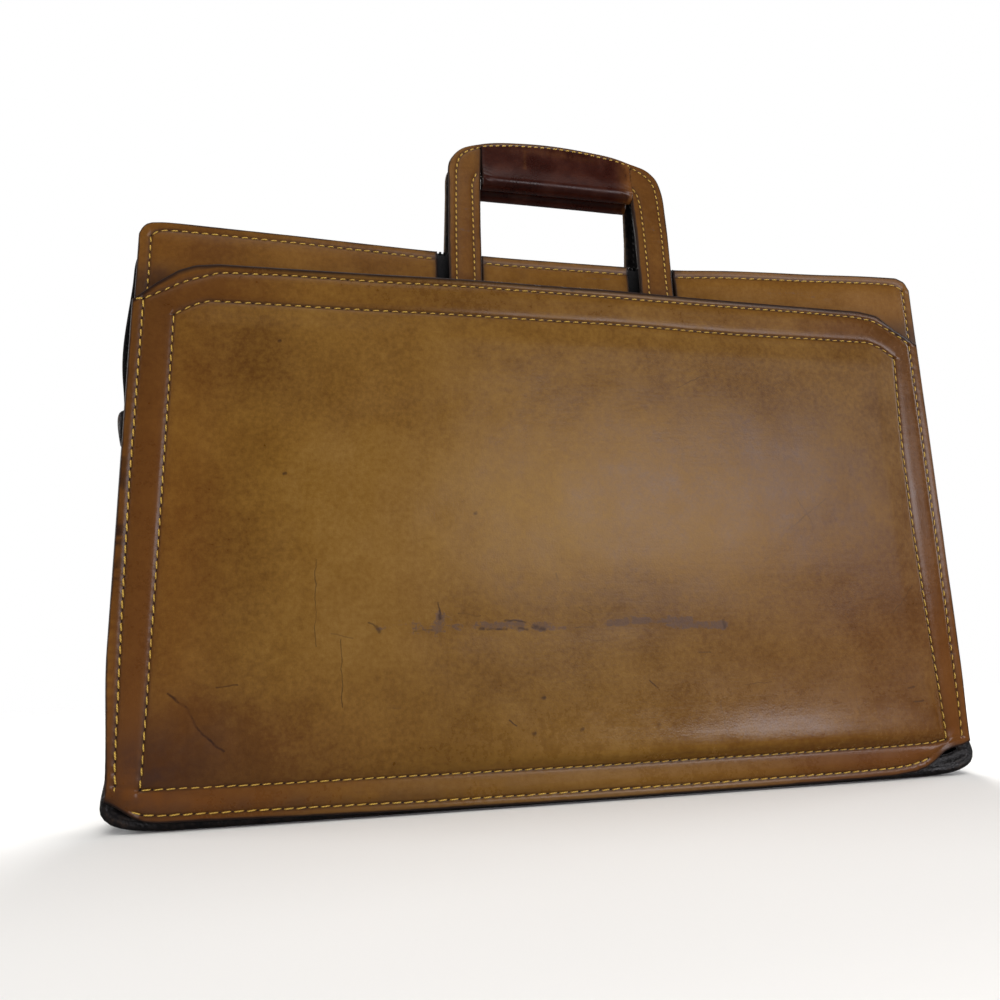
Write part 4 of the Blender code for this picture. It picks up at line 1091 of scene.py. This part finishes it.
# ------------------------------------------------------------------ gusset
def build_gusset(mats):
    line = smooth_line(GUSSET_LINE, 2.6)
    tangent = np.gradient(line[:, :2], axis=0)
    tangent /= np.linalg.norm(tangent, axis=1, keepdims=True)
    normal = np.stack([-tangent[:, 1], tangent[:, 0]], axis=1)
    run = np.r_[0.0, np.cumsum(np.linalg.norm(np.diff(line[:, :2], axis=0), axis=1))]
    w, t, r = GUSSET_Y, GUSSET_T, 1.6
    rings, worn = [], []
    for (x, z, crease), n, s in zip(line, normal, run):
        fold = FOLD * min(max(crease, 0.0), 1.0)
        z = max(z, 0.0)
        corner = math.exp(-((x + 205.0) / 13.0) ** 2 - ((z - 6.0) / 12.0) ** 2) + math.exp(-((x - 208.0) / 14.0) ** 2 - ((z - 6.0) / 12.0) ** 2)
        upright = 1.0 if z > 24.0 else 0.0
        # below the leather's cut the corner swells forward in long folds
        depths = (FLANGE, 7.6, 6.4, 5.4, 4.6, 3.8, 3.1, 2.4)
        swell = [w * (1 + 0.17 * corner * float(ramp(8.5, 3.0, d))) + 0.34 * corner * math.sin(d * 2.3 + 0.06 * s) * float(ramp(8.5, 6.5, d)) for d in depths]
        outer = [(-y, d) for y, d in zip(swell, depths)]
        full = w
        w = w * (1 + 0.17 * corner)
        outer += [(-w + r - r * math.cos(a), r - r * math.sin(a)) for a in (0.0, 0.4, 0.8, 1.2, math.pi / 2)]
        ys = np.linspace(-w + r, w - r, 27)[1:-1]
        web = []
        for y in ys:
            share = max(0.0, 1.0 - abs(y) / (w - r))
            depth = fold * (share if share < 0.86 else 0.86 + (share - 0.86) * 0.5)
            ridge = corner * (0.55 * math.sin(y * 1.25 + 0.7 * math.sin(s * 0.11)) + 0.25 * math.sin(y * 2.9 + 1.0))
            ripple = upright * crease * 0.5 * math.sin(s / 7.0 + 1.6 * float(noise(s, y, 22.0, 3))) * share * float(noise(s, 0.0, 30.0, 5))
            web.append((float(y), depth + max(ridge, 0.0) * 0.9 + ripple * 0.6 + 0.10 * corner))
        outer += web
        outer += [(w - r + r * math.sin(a), r - r * math.cos(a)) for a in (0.0, 0.4, 0.8, 1.2, math.pi / 2)]
        outer += [(y, d) for y, d in zip(reversed(swell), reversed(depths))]
        w = full
        inner = [(w - t, FLANGE), (w - t, t + 1.2), (w - t - 1.0, t + 0.2)]
        inner += [(y, d + t) for y, d in web[::-3]]
        inner += [(-w + t + 1.0, t + 0.2), (-w + t, t + 1.2), (-w + t, FLANGE)]
        rings.append([(x + n[0] * d, y, z + n[1] * d) for y, d in outer + inner])
        for y, d in outer:
            at_fold = math.exp(-(abs(abs(y) - w + 1.0) / 1.3) ** 2) * (1 - 0.7 * corner) + 0.8 * corner * max(0.0, math.sin(d * 2.3 + 0.06 * s)) ** 3 * (d < 6.0)
            worn.append(0.55 * at_fold + 0.9 * corner * max(0.0, math.sin(y * 1.25)) + 0.35 * math.exp(-(y / 1.4) ** 2) * upright)
        worn += [0.0] * len(inner)
    size, split = len(rings[0]), 8 + 5 + 25 + 5 + 8
    kinds = [0 if k < split - 1 else 1 for k in range(size)]
    obj = loft("gusset_leather", rings, mats, kinds, {"worn": np.clip(worn, 0, 1)})
    place(obj, ["gusset"])


# ------------------------------------------------------------------ zip
def block(cx, cy, cz, dx, dy, dz, chamfer=0.22):
    """Points and faces of a small bevelled block."""
    points, faces = [], []
    levels = ((-1.0, 1 - chamfer), (-1 + chamfer, 1.0), (1 - chamfer, 1.0), (1.0, 1 - chamfer))
    for h, k in levels:
        c = chamfer
        for u, v in ((-1 + c, -1), (1 - c, -1), (1, -1 + c), (1, 1 - c), (1 - c, 1), (-1 + c, 1), (-1, 1 - c), (-1, -1 + c)):
            points.append((cx + u * k * dx / 2, cy + v * k * dy / 2, cz + h * dz / 2))
    for level in range(3):
        a = level * 8
        for k in range(8):
            m = (k + 1) % 8
            faces.append([a + k, a + m, a + 8 + m, a + 8 + k])
    faces.append([k for k in reversed(range(8))])
    faces.append([24 + k for k in range(8)])
    return points, faces


def join_blocks(name, blocks, mats, turn=None):
    points, faces = [], []
    for pts, fcs in blocks:
        start = len(points)
        points += pts
        faces += [[start + k for k in f] for f in fcs]
    return add_mesh(name, points, faces, mats, smooth=False)


def tape_rows(x, side):
    top = float(linear(PANEL_TOP, x)) - 0.9
    for a, b in SLOTS:
        top += 1.7 * float(ramp(a - 9.0, a, x) * ramp(b + 9.0, b, x))
    rows = []
    for z, lean in ((top - TAPE_HEIGHT - 4.5, 0.0), (top - 12.0, 0.0), (top - 7.0, 0.0), (top - 4.4, 0.15), (top - 2.0, 0.7), (top - 1.0, 1.15), (top, 1.5)):
        rows.append((z, float(PANEL_Y - pinch(x, z)) - PANEL_T - GAP - lean))
    return rows


def build_zip(side, label, mats, metal):
    xs = np.linspace(-200.5, 204.0, 210)
    rings = []
    for x in xs:
        rows = tape_rows(x, side)
        ripple = 0.22 * float(noise(x, 0.0, 9.0, 4 if side < 0 else 6))
        ring = [(x, side * (y + 0.12 * ripple), z) for z, y in rows]
        ring += [(x, side * (rows[-1][1] - TAPE_T / 2), rows[-1][0] + 0.25)]
        ring += [(x, side * (y - TAPE_T + 0.12 * ripple), z) for z, y in reversed(rows)]
        rings.append(ring)
    place(loft("zip_tape_" + label + "_weave", rings, mats, flip=side > 0), ["zip_tape_" + label])
    blocks = []
    for k, x in enumerate(np.arange(-196.5, 202.0, 2.35)):
        x = x + (0.6 if side > 0 else 0.0)
        rows = tape_rows(x, side)
        blocks.append(block(x, side * (rows[-1][1] - TAPE_T * 0.5), rows[-1][0] - 0.35, 1.25, 2.3, 2.5))
        blocks.append(block(x, side * (rows[-1][1] - TAPE_T * 0.5), rows[-1][0] + 0.75, 0.75, 1.0, 0.7, 0.3))
    place(join_blocks("zip_teeth_" + label, blocks, metal))


def build_tail(mats, metal, tab_mats):
    line = smooth_line(TAIL_LINE, 1.6)
    tangent = np.gradient(line, axis=0)
    tangent /= np.linalg.norm(tangent, axis=1, keepdims=True)
    normal = np.stack([-tangent[:, 1], tangent[:, 0]], axis=1)
    h, w = TAIL_T / 2, TAIL_HALF_WIDTH
    rings = []
    run = np.r_[0.0, np.cumsum(np.linalg.norm(np.diff(line, axis=0), axis=1))]
    for (x, z), n, s in zip(line, normal, run):
        ring = []
        ys = np.linspace(-w, w, 23)
        for y in ys:
            rib = 0.55 * math.exp(-(y / 2.2) ** 2) - 0.18 * math.exp(-((abs(y) - 4.2) / 0.9) ** 2)
            cup = 0.35 * (abs(y) / w) ** 2 * math.sin(s / 9.0)
            ring.append((x - n[0] * (h * (0.75 if abs(y) > w - 0.1 else 1.0) + rib + cup), y, z - n[1] * (h + rib + cup)))
        for y in ys[::-1]:
            cup = 0.35 * (abs(y) / w) ** 2 * math.sin(s / 9.0)
            ring.append((x + n[0] * (h - cup), y, z + n[1] * (h - cup)))
        rings.append(ring)
    place(loft("zip_tail_weave", rings, mats, flip=True), ["zip_tail"])
    blocks = []
    for k in range(8, len(line) - 3):
        x, z = line[k]
        n = normal[k]
        out = 1.15
        pts, fcs = block(0.0, 0.0, 0.0, 1.0, 4.6, 1.05)
        t = tangent[k]
        pts = [(x - n[0] * (out + p[0]) + t[0] * p[2], p[1], z - n[1] * (out + p[0]) + t[1] * p[2]) for p in pts]
        blocks.append((pts, [f[::-1] for f in fcs]))
    place(join_blocks("zip_tail_teeth", blocks, metal))
    # small folded leather end piece with a rolled bottom edge
    outline = smooth_line(((-215.5, 188.6), (-217.2, 188.3), (-218.7, 187.0), (-219.3, 184.6), (-219.1, 180.5), (-218.2, 175.2),
                           (-217.2, 170.9), (-216.3, 169.8), (-215.5, 170.6), (-215.3, 175.0), (-215.1, 181.0), (-215.2, 186.6)), 0.9)
    loop = outline[:-1]
    rings, worn = [], []
    for y in list(np.linspace(-w - 0.4, w + 0.4, 25)):
        end = max(0.0, (abs(y) - (w - 0.6)) / 1.0)
        centre = loop.mean(axis=0)
        k = 1.0 - 0.16 * end ** 2
        lift = 0.25 * math.sin(y * 0.7)
        rings.append([(centre[0] + (x - centre[0]) * k, y, centre[1] + (z - centre[1]) * k + lift * 0.3) for x, z in loop])
        worn += [0.8 if (x < -218.4 or z < 171.5) else 0.15 for x, z in loop]
    place(loft("zip_end_tab_leather", rings, tab_mats, None, {"worn": worn}, flip=True), ["zip_end_tab"])


def build_slider(metal):
    """Slider where the open tapes meet the tail: two wings, a bridge and a flat pull."""
    x, z = -201.5, 277.6
    blocks = [block(x, 0.0, z + 1.9, 10.5, 9.0, 1.3, 0.35), block(x, 0.0, z - 2.3, 10.5, 9.0, 1.3, 0.35),
              block(x - 2.4, 0.0, z, 2.6, 2.4, 4.6, 0.2), block(x + 1.6, 4.1, z, 6.5, 0.9, 4.2, 0.2), block(x + 1.6, -4.1, z, 6.5, 0.9, 4.2, 0.2),
              block(x - 1.8, 0.0, z + 4.5, 1.2, 2.2, 2.6, 0.25), block(x + 2.4, 0.0, z + 4.5, 1.2, 2.2, 2.6, 0.25), block(x + 0.3, 0.0, z + 5.6, 6.2, 2.2, 1.1, 0.3)]
    place(join_blocks("zip_slider", blocks, metal))
    outline = []
    for a in np.linspace(0, 2 * math.pi, 33)[:-1]:
        u = math.cos(a)
        outline.append((11.0 * math.copysign(abs(u) ** 0.7, u), (3.4 - 0.9 * (1 + u) / 2) * math.copysign(abs(math.sin(a)) ** 0.75, math.sin(a))))
    rings = []
    for h, k in ((-0.65, 0.93), (-0.4, 1.0), (0.4, 1.0), (0.65, 0.93)):
        rings.append([(x + 12.5 + u * k, v * k, z + 3.5 + h - 0.02 * (u + 11.0) ** 1.3) for u, v in outline])
    place(loft("zip_pull", rings, metal))


# ------------------------------------------------------------------ handles
def lean(z):
    return linear(STRAP_LEAN, z)


def handle_rows(step):
    return smooth_line([(ox, oz, ix, iz) for ox, oz, ix, iz in HANDLE_EDGES], step)


def build_handle(label, side, seed, tan_mats, black_mats, grip_mats, thread_mats):
    rows = handle_rows(1.5)
    m = 26
    f = 0.5 - 0.5 * np.cos(np.linspace(0, math.pi, m + 1))
    front = (STRAP_T + GAP + BACKING_T) / 2
    seams = [HANDLE_SEAM, LEG_SEAM_LEFT, LEG_SEAM_RIGHT]
    P = rows[:, None, 0:2] * (1 - f)[None, :, None] + rows[:, None, 2:4] * f[None, :, None]
    X, Z = P[..., 0], P[..., 1]
    width = np.linalg.norm(rows[:, 2:4] - rows[:, 0:2], axis=1)[:, None]
    edge = np.minimum(f, 1 - f)[None, :] * width
    seam = np.minimum.reduce([distance_to(s, X, Z) for s in seams])
    legs = ramp(4.0, 12.0, width)
    crown = 0.14 * legs * (1 - (2 * f - 1) ** 4)[None, :]
    wave = 0.22 * clouds(X, Z, 22.0, seed, 2) * legs

    def strap_face(x, z):
        return lean(z) + front

    groove = (0.30 * np.exp(-(seam / 0.7) ** 2) + 0.05 * np.exp(-(seam / 1.8) ** 2)) * legs
    outer = strap_face(X, Z) + crown + wave * ramp(0.0, 3.0, seam) - groove - edge_drop(edge, 0.8)
    inner = lean(Z) + front - STRAP_T + edge_drop(edge, 0.4)
    # tone mixes uneven colour with painted shade: the legs darken low down, where they go into the panel's slots
    tone_and_shade = 0.36 - 0.05 * ramp(20.0, 60.0, X * -side) + 0.10 * clouds(X, Z, 40.0, seed + 2, 2) - 0.10 * ramp(275.0, 262.0, Z) - 0.04 * ramp(300.0, 345.0, Z)
    rim = np.maximum(edge, 1.7 * ramp(3.0, 1.0, np.abs(X - 48.0)) * ramp(332.0, 336.0, Z))
    warm = 0.30 + 0.25 * ramp(330.0, 350.0, Z) * ramp(-30.0, 60.0, X)
    # painted shade: the stain and shade masks darken the legs in the slots, and the stain blob marks the gap where the
    # left leg meets the grip
    stain_and_shade = 0.30 * ramp(274.0, 262.0, Z) + 0.6 * blob(X, Z, -42.0, 344.0, 3.0, 10.0)
    scuff = 0.22 * blob(X, Z, -52.0, 300.0, 6.0, 22.0) + 0.18 * blob(X, Z, 58.0, 310.0, 6.0, 26.0)
    values = {"edge": rim, "seam": seam, "tone_and_shade": tone_and_shade, "warm": warm, "stain_and_shade": stain_and_shade, "scuff": scuff, "painted_shade": 0.4 * ramp(270.0, 258.0, Z)}
    rings, kinds = [], [0] * (m + 3) + [1] * m + [0] * 3
    fields = {k: [] for k in values}
    for i in range(len(rows)):
        ring = [(X[i, j], side * outer[i, j], Z[i, j]) for j in range(m + 1)]
        a = (rows[i, 2:4] - rows[i, 0:2]) / width[i, 0]
        edge_in = [(X[i, m] + a[0] * 0.12, side * (outer[i, m] * (1 - s) + inner[i, m] * s), Z[i, m] + a[1] * 0.12) for s in (0.35, 0.65)]
        back = [(X[i, j], side * inner[i, j], Z[i, j]) for j in range(m, -1, -1)]
        edge_out = [(X[i, 0] - a[0] * 0.12, side * (outer[i, 0] * (1 - s) + inner[i, 0] * s), Z[i, 0] - a[1] * 0.12) for s in (0.65, 0.35)]
        rings.append(ring + edge_in + back + edge_out)
        for k, v in values.items():
            v = np.broadcast_to(v, X.shape)
            fields[k] += list(v[i]) + [v[i, m]] * 2 + list(v[i, ::-1]) + [v[i, 0]] * 2
    place(loft(label + "_handle_strap", rings, tan_mats, kinds, fields, flip=side < 0), [label + "_handle"])

    # black lining behind the strap
    fb = 0.5 - 0.5 * np.cos(np.linspace(0, math.pi, 13))
    rings, worn = [], []
    for ox, oz, ix, iz in rows:
        w = math.hypot(ix - ox, iz - oz)
        pts = [(ox + (ix - ox) * (0.25 / w + (1 - 0.5 / w) * u), oz + (iz - oz) * (0.25 / w + (1 - 0.5 / w) * u), min(u, 1 - u) * w) for u in fb]
        ring = [(x, side * (float(lean(z)) + BACKING_T - front - 0.3 * math.exp(-d / 0.4)), z) for x, z, d in pts]
        ring += [(x, side * (float(lean(z)) - front + 0.35 * math.exp(-d / 0.5) - 0.25 * min(1.0, d / 6.0)), z) for x, z, d in reversed(pts)]
        rings.append(ring)
        worn += [0.2] * len(fb) + [0.9 * math.exp(-d / 0.8) for x, z, d in reversed(pts)]
    place(loft(label + "_handle_lining", rings, black_mats, None, {"worn": worn}, flip=side < 0), [label + "_handle_backing"])

    # rolled grip: leather round a core, thin at its sewn upper edge
    arch = [(ix, iz) for ox, oz, ix, iz in HANDLE_EDGES[9:17]]
    left, right = GRIP_ENDS
    xs = np.r_[left - 0.5, left - 0.3, np.linspace(left, right + 0.2, 62), right + 0.5, right + 0.7]
    R = 4.75
    rings, worn, edges = [], [], []
    for n, x in enumerate(xs):
        top = float(soft(arch, x, 3.0)) + 1.1
        squeeze = 1.0 - 0.30 * max(0.0, (left + 0.1 - x) / 0.6) ** 2 - 0.30 * max(0.0, (x - right - 0.1) / 0.6) ** 2
        pucker = math.exp(-((x - left) / 5.0) ** 2) + math.exp(-((x - right) / 5.0) ** 2)
        half = []
        for a in np.linspace(-math.pi / 2, 0.36, 16)[1:]:
            half.append((GRIP_FLOOR + R + R * math.sin(a), R * math.cos(a)))
        low = GRIP_FLOOR + R + R * math.sin(0.36)
        for s in np.linspace(0, 1, 20)[1:]:
            half.append((low + (top - 0.9 - low) * s, float(eased(((0.0, 4.445), (0.07, 4.06), (0.20, 3.36), (0.32, 2.86), (0.45, 2.62), (0.65, 2.52), (1.0, 2.45)), s))))
        half += [(top - 0.35, 2.15), (top - 0.05, 1.3)]
        half = [(z, t * squeeze * (1.0 + 0.05 * pucker * math.sin(z * 2.1 + x)) + 0.10 * float(noise(x, z, 13.0, seed + 1))) for z, t in half]
        sag = 0.18 * math.sin((x - left) / (right - left) * math.pi)
        ring = [(x, side * GRIP_Y, GRIP_FLOOR + sag)] + [(x, side * (GRIP_Y + t), z + sag * max(0.0, 1 - (z - GRIP_FLOOR) / 12.0)) for z, t in half]
        ring += [(x, side * GRIP_Y, top)] + [(x, side * (GRIP_Y - t), z + sag * max(0.0, 1 - (z - GRIP_FLOOR) / 12.0)) for z, t in reversed(half)]
        rings.append(ring)
        for px, py, pz in ring:
            w = 0.95 * math.exp(-((px - 48.0) / 5.5) ** 2) + 0.30 * math.exp(-((px + 16.0) / 1.2) ** 2) * (pz > 340) + 0.22 * math.exp(-((px - 5.0) / 26.0) ** 2) * math.exp(-((pz - top + 4.5) / 2.0) ** 2)
            worn.append(min(1.0, w))
            edges.append(min(top - pz + 0.2, px - left + 0.9))
    place(loft(label + "_grip_roll", rings, grip_mats, None, {"worn": worn, "edge": edges}, flip=side < 0),
          [label + "_grip"])

    def seam_height(x, z):
        on_grip = (x > left) & (x < right) & (z > 345.0)
        return np.where(on_grip, GRIP_Y + 2.30, strap_face(x, z) - 0.24)

    runs = [(walk(smooth_line(s, 0.6), 3.8), seam_height, 0.48, 0.11, 0.40) for s in seams]
    place(stitching(label + "_handle_stitching", side, runs, thread_mats, 51 + seed))
    # the same seams come out on the lining
    def back_height(x, z):
        return -(lean(z) - front - 0.05)
    back = [(walk(smooth_line(s, 0.6), 3.8), back_height, 0.48, 0.11, 0.40) for s in seams[:1] + seams[1:]]
    trimmed = []
    for path, height, gap, turn, radius in back:
        for part in (path[(path[:, 1] < 344.0) & (path[:, 0] < 0) & (path[:, 1] > 262.0)], path[(path[:, 1] < 344.0) & (path[:, 0] > 0) & (path[:, 1] > 262.0)]):
            if len(part) > 2:
                trimmed.append((part, height, gap, turn, radius))
    place(stitching(label + "_lining_stitching", -side, trimmed, [bobbin, slot_dark], 71 + seed))


# ------------------------------------------------------------------ put together
FRONT_MARKS = [
    ((-188.5, 57.9), (-180.5, 51.9), 0.55, 0.8), ((-180.5, 51.9), (-176.0, 43.0), 0.6, 0.8), ((-176.0, 43.0), (-168.5, 35.9), 0.6, 0.85),
    ((-168.5, 35.9), (-164.5, 32.4), 0.5, 0.7), ((-168.5, 59.9), (-159.5, 60.2), 0.4, 0.6),
    ((-126.6, 116.0), (-126.2, 76.0), 0.30, 0.55), ((-114.6, 79.0), (-113.8, 49.0), 0.30, 0.6),
    ((-119.5, 82.0), (-109.5, 79.5), 0.35, 0.35), ((-36.5, 40.0), (-33.5, 37.2), 0.5, 0.8), ((34.5, 56.0), (38.5, 52.0), 0.4, 0.7),
    ((181.5, 46.4), (185.5, 46.6), 0.5, 0.6), ((183.5, 38.9), (189.5, 39.2), 0.5, 0.6), ((170.8, 260.4), (173.6, 257.4), 0.5, 0.8),
    ((119.0, 131.0), (144.0, 149.0), 0.28, 0.45), ((126.0, 150.0), (134.0, 134.0), 0.28, 0.4), ((178.0, 86.0), (192.0, 101.0), 0.28, 0.5),
    ((176.0, 99.0), (190.0, 90.0), 0.28, 0.4), ((60.0, 208.0), (74.0, 215.0), 0.28, 0.4), 
    ((87.0, 51.5), (102.0, 52.6), 0.28, 0.4), ((72.0, 45.0), (72.6, 33.0), 0.28, 0.4),
    ((88.0, 43.0), (88.6, 29.0), 0.25, 0.35), ((150.0, 44.0), (150.3, 35.0), 0.25, 0.35),
    ((-69.9, 95.2), (-69.1, 88.6), 0.42, 0.75), ((-69.4, 89.5), (-68.9, 87.6), 0.85, 0.7), ((-102.4, 86.3), (-98.0, 83.2), 0.55, 0.6),
    ((-99.2, 84.2), (-97.8, 82.6), 1.05, 0.6), ((-81.2, 82.5), (-73.0, 82.4), 0.45, 0.5), ((-60.2, 89.9), (-50.0, 88.7), 0.35, 0.55),
    ((-49.8, 82.8), (-48.2, 82.4), 1.05, 0.7), ((-46.4, 82.2), (-37.0, 82.5), 0.65, 0.6), ((-38.2, 86.1), (-27.8, 85.0), 0.55, 0.6),
    ((-31.0, 82.3), (-26.4, 82.1), 0.60, 0.6), ((-23.6, 83.4), (-18.0, 81.6), 1.15, 0.65), ((-2.8, 82.6), (6.4, 82.0), 0.40, 0.5),
    ((-0.4, 76.9), (14.2, 75.2), 0.28, 0.4), ((-0.8, 92.5), (6.6, 88.2), 0.28, 0.35), ((-11.7, 108.8), (-10.7, 105.0), 0.55, 0.4),
    ((61.8, 68.9), (68.8, 68.1), 0.45, 0.45), ((76.8, 83.6), (77.4, 80.4), 0.9, 0.5)]
SPOTS = [((-146.5, 222.9), 1.0), ((-142.5, 156.9), 0.9), ((-51.5, 137.9), 0.9), ((-20.0, 49.4), 1.1), ((-25.5, 33.4), 1.0),
         ((-1.5, 34.4), 1.0), ((37.5, 34.4), 1.0), ((3.6, 260.6), 1.1)]
FRONT_MARKS += [(p, (p[0] + 0.6, p[1] + 0.2), w, 0.8) for p, w in SPOTS]
REAR_MARKS = [((60.0, 120.0), (84.0, 128.0), 0.35, 0.5), ((-90.0, 70.0), (-60.0, 66.0), 0.4, 0.55), ((-20.0, 190.0), (-12.0, 172.0), 0.3, 0.5),
              ((130.0, 60.0), (150.0, 74.0), 0.35, 0.5), ((-150.0, 150.0), (-146.0, 120.0), 0.3, 0.45), ((20.0, 44.0), (40.0, 45.0), 0.45, 0.6)]

pocket_front = leather("pocket_hide_front", 1, TAN_STOPS, FRONT_MARKS)
pocket_rear = leather("pocket_hide_rear", 4, TAN_STOPS, REAR_MARKS)
panel_hide = leather("panel_hide", 2, PANEL_STOPS)
strap_hide = leather("strap_hide", 3, PANEL_STOPS, pores=0.2)
flesh = suede("flesh_side", (0.085, 0.045, 0.022), (0.19, 0.115, 0.062))
lining = suede("lining_flesh", (0.010, 0.009, 0.009), (0.028, 0.025, 0.025))
black = black_hide("gusset_hide", 1)
black_strap = black_hide("lining_hide", 2, pores=0.45, brown=0.5)
dark_grip = grip_hide("grip_hide", 1)
gold = thread("gold_thread", (0.27, 0.150, 0.016), (0.72, 0.48, 0.085))
bobbin = thread("bobbin_thread", (0.006, 0.005, 0.005), (0.030, 0.026, 0.024), 0.0)
slot_dark = needle_slot("needle_slot")
cloth = weave("tape_weave")
coil = aged_metal("blackened_teeth", (0.030, 0.028, 0.028), (0.008, 0.008, 0.009))
brass = aged_metal("aged_brass", (0.46, 0.31, 0.13), (0.12, 0.075, 0.035))
THREADS = [gold, slot_dark]

for label, side, seed, hide in (("front", -1.0, 1, pocket_front), ("rear", 1.0, 4, pocket_rear)):
    build_pocket(label, side, seed, [hide, flesh], THREADS)
    build_panel(label, side, seed + 1, [panel_hide, flesh], THREADS)
    build_zip(side, label, [cloth], [coil])
    build_handle(label, side, seed + 2, [strap_hide, flesh], [black_strap], [dark_grip], THREADS)
build_gusset([black, lining])
build_tail([cloth], [coil], [black_strap])
build_slider([brass])


# ------------------------------------------------------------------ floor, light, camera
def floor_material():
    """Pale paper that fades out, well away from the case, into the white studio."""
    g = Graph("studio_paper")
    n = g.noise(3.0, 3.0, 0.5)
    g.end(g.mix(n, (0.80, 0.80, 0.80), (0.85, 0.85, 0.85)), g.span(n, 0.0, 1.0, 0.75, 0.85), g.bump(g.noise(700.0), 0.03, 0.0003), IOR=1.3)
    clear = g.new("ShaderNodeBsdfTransparent")
    both = g.new("ShaderNodeMixShader")
    away = g.vec("LENGTH", g.vec("MULTIPLY", g.where(), (1.0, 1.0, 0.0)))
    g.links.new(g.span(away, 0.50, 1.05), both.inputs[0])
    g.links.new(g.shader.outputs[0], both.inputs[1])
    g.links.new(clear.outputs[0], both.inputs[2])
    g.links.new(both.outputs[0], g.nodes["Material Output"].inputs["Surface"])
    return g.mat


def build_floor(mat):
    count, points, faces = 64, [(0.0, 0.0, 0.0)], []
    radii = (0.2, 0.4, 0.6, 0.8, 1.1)
    for r in radii:
        points += [(r * math.cos(2 * math.pi * k / count), r * math.sin(2 * math.pi * k / count), 0.0) for k in range(count)]
    for k in range(count):
        faces.append([0, 1 + k, 1 + (k + 1) % count])
    for row in range(len(radii) - 1):
        a, b = 1 + row * count, 1 + (row + 1) * count
        for k in range(count):
            m = (k + 1) % count
            faces.append([a + k, b + k, b + m, a + m])
    floor = add_mesh("floor", np.array(points) / MM, faces, [mat])
    floor.visible_glossy = False


def area_light(name, at, to, size, power, color=(1.0, 1.0, 1.0), shiny=True):
    data = bpy.data.lights.new(name, "AREA")
    data.shape, data.size, data.size_y = "RECTANGLE", size[0], size[1]
    data.energy, data.color = power, color
    obj = bpy.data.objects.new(name, data)
    obj.location = at
    obj.visible_glossy = shiny
    obj.rotation_mode = "QUATERNION"
    obj.rotation_quaternion = (Vector(to) - Vector(at)).to_track_quat("-Z", "Y")
    bpy.context.scene.collection.objects.link(obj)


def studio():
    """White surround for the eye, a dim one for the light, so that the soft boxes shape the hide."""
    world = bpy.data.worlds.new("studio")
    world.use_nodes = True
    nodes, links = world.node_tree.nodes, world.node_tree.links
    background = nodes["Background"]
    background.inputs["Color"].default_value = (1.0, 1.0, 1.0, 1.0)
    path = nodes.new("ShaderNodeLightPath")
    strength = nodes.new("ShaderNodeMapRange")
    links.new(path.outputs["Is Camera Ray"], strength.inputs["Value"])
    strength.inputs["To Min"].default_value = 0.08
    strength.inputs["To Max"].default_value = 1.0
    links.new(strength.outputs["Result"], background.inputs["Strength"])
    bpy.context.scene.world = world
    bpy.context.scene.view_settings.view_transform = "Standard"
    paths = bpy.context.scene.cycles
    paths.max_bounces, paths.diffuse_bounces, paths.glossy_bounces, paths.transmission_bounces = 3, 2, 2, 0
    paths.caustics_reflective = paths.caustics_refractive = False


build_floor(floor_material())
area_light("key", (-0.30, -1.15, 1.60), (0.0, 0.0, 0.12), (1.2, 0.9), 16.8, (1.0, 0.97, 0.90), shiny=False)
area_light("key_gloss", (-0.35, -1.05, 1.80), (0.0, 0.0, 0.12), (1.2, 0.8), 2.8, (1.0, 0.97, 0.93))
area_light("side_box", (0.70, -1.45, 0.41), (0.05, 0.0, 0.10), (1.02, 0.38), 9.6, (0.98, 0.95, 1.0))
area_light("rear_key", (0.40, 1.30, 1.50), (0.0, 0.0, 0.12), (1.2, 0.9), 30.0, (1.0, 0.98, 0.95))
area_light("left_box", (-1.50, 0.02, 0.55), (0.0, 0.0, 0.15), (0.9, 0.9), 13.0)
area_light("right_box", (1.50, 0.02, 0.55), (0.0, 0.0, 0.15), (0.9, 0.9), 13.0)
area_light("top", (0.0, 0.1, 1.9), (0.0, 0.0, 0.1), (1.2, 1.2), 8.0)
studio()

camera = bpy.data.cameras.new("camera")
camera.lens, camera.sensor_width = 26.885, 36.0
camera.clip_start, camera.clip_end = 0.01, 50.0
eye = bpy.data.objects.new("camera", camera)
right, up, forward = (0.97905, -0.20196, -0.0258), (-0.01333, -0.19006, 0.98168), (0.20316, 0.96078, 0.18877)
turn = Matrix((right, up, tuple(-c for c in forward))).transposed().to_4x4()
turn.translation = (-0.1139, -0.3786, 0.0754)
eye.matrix_world = turn
bpy.context.scene.collection.objects.link(eye)
bpy.context.scene.camera = eye
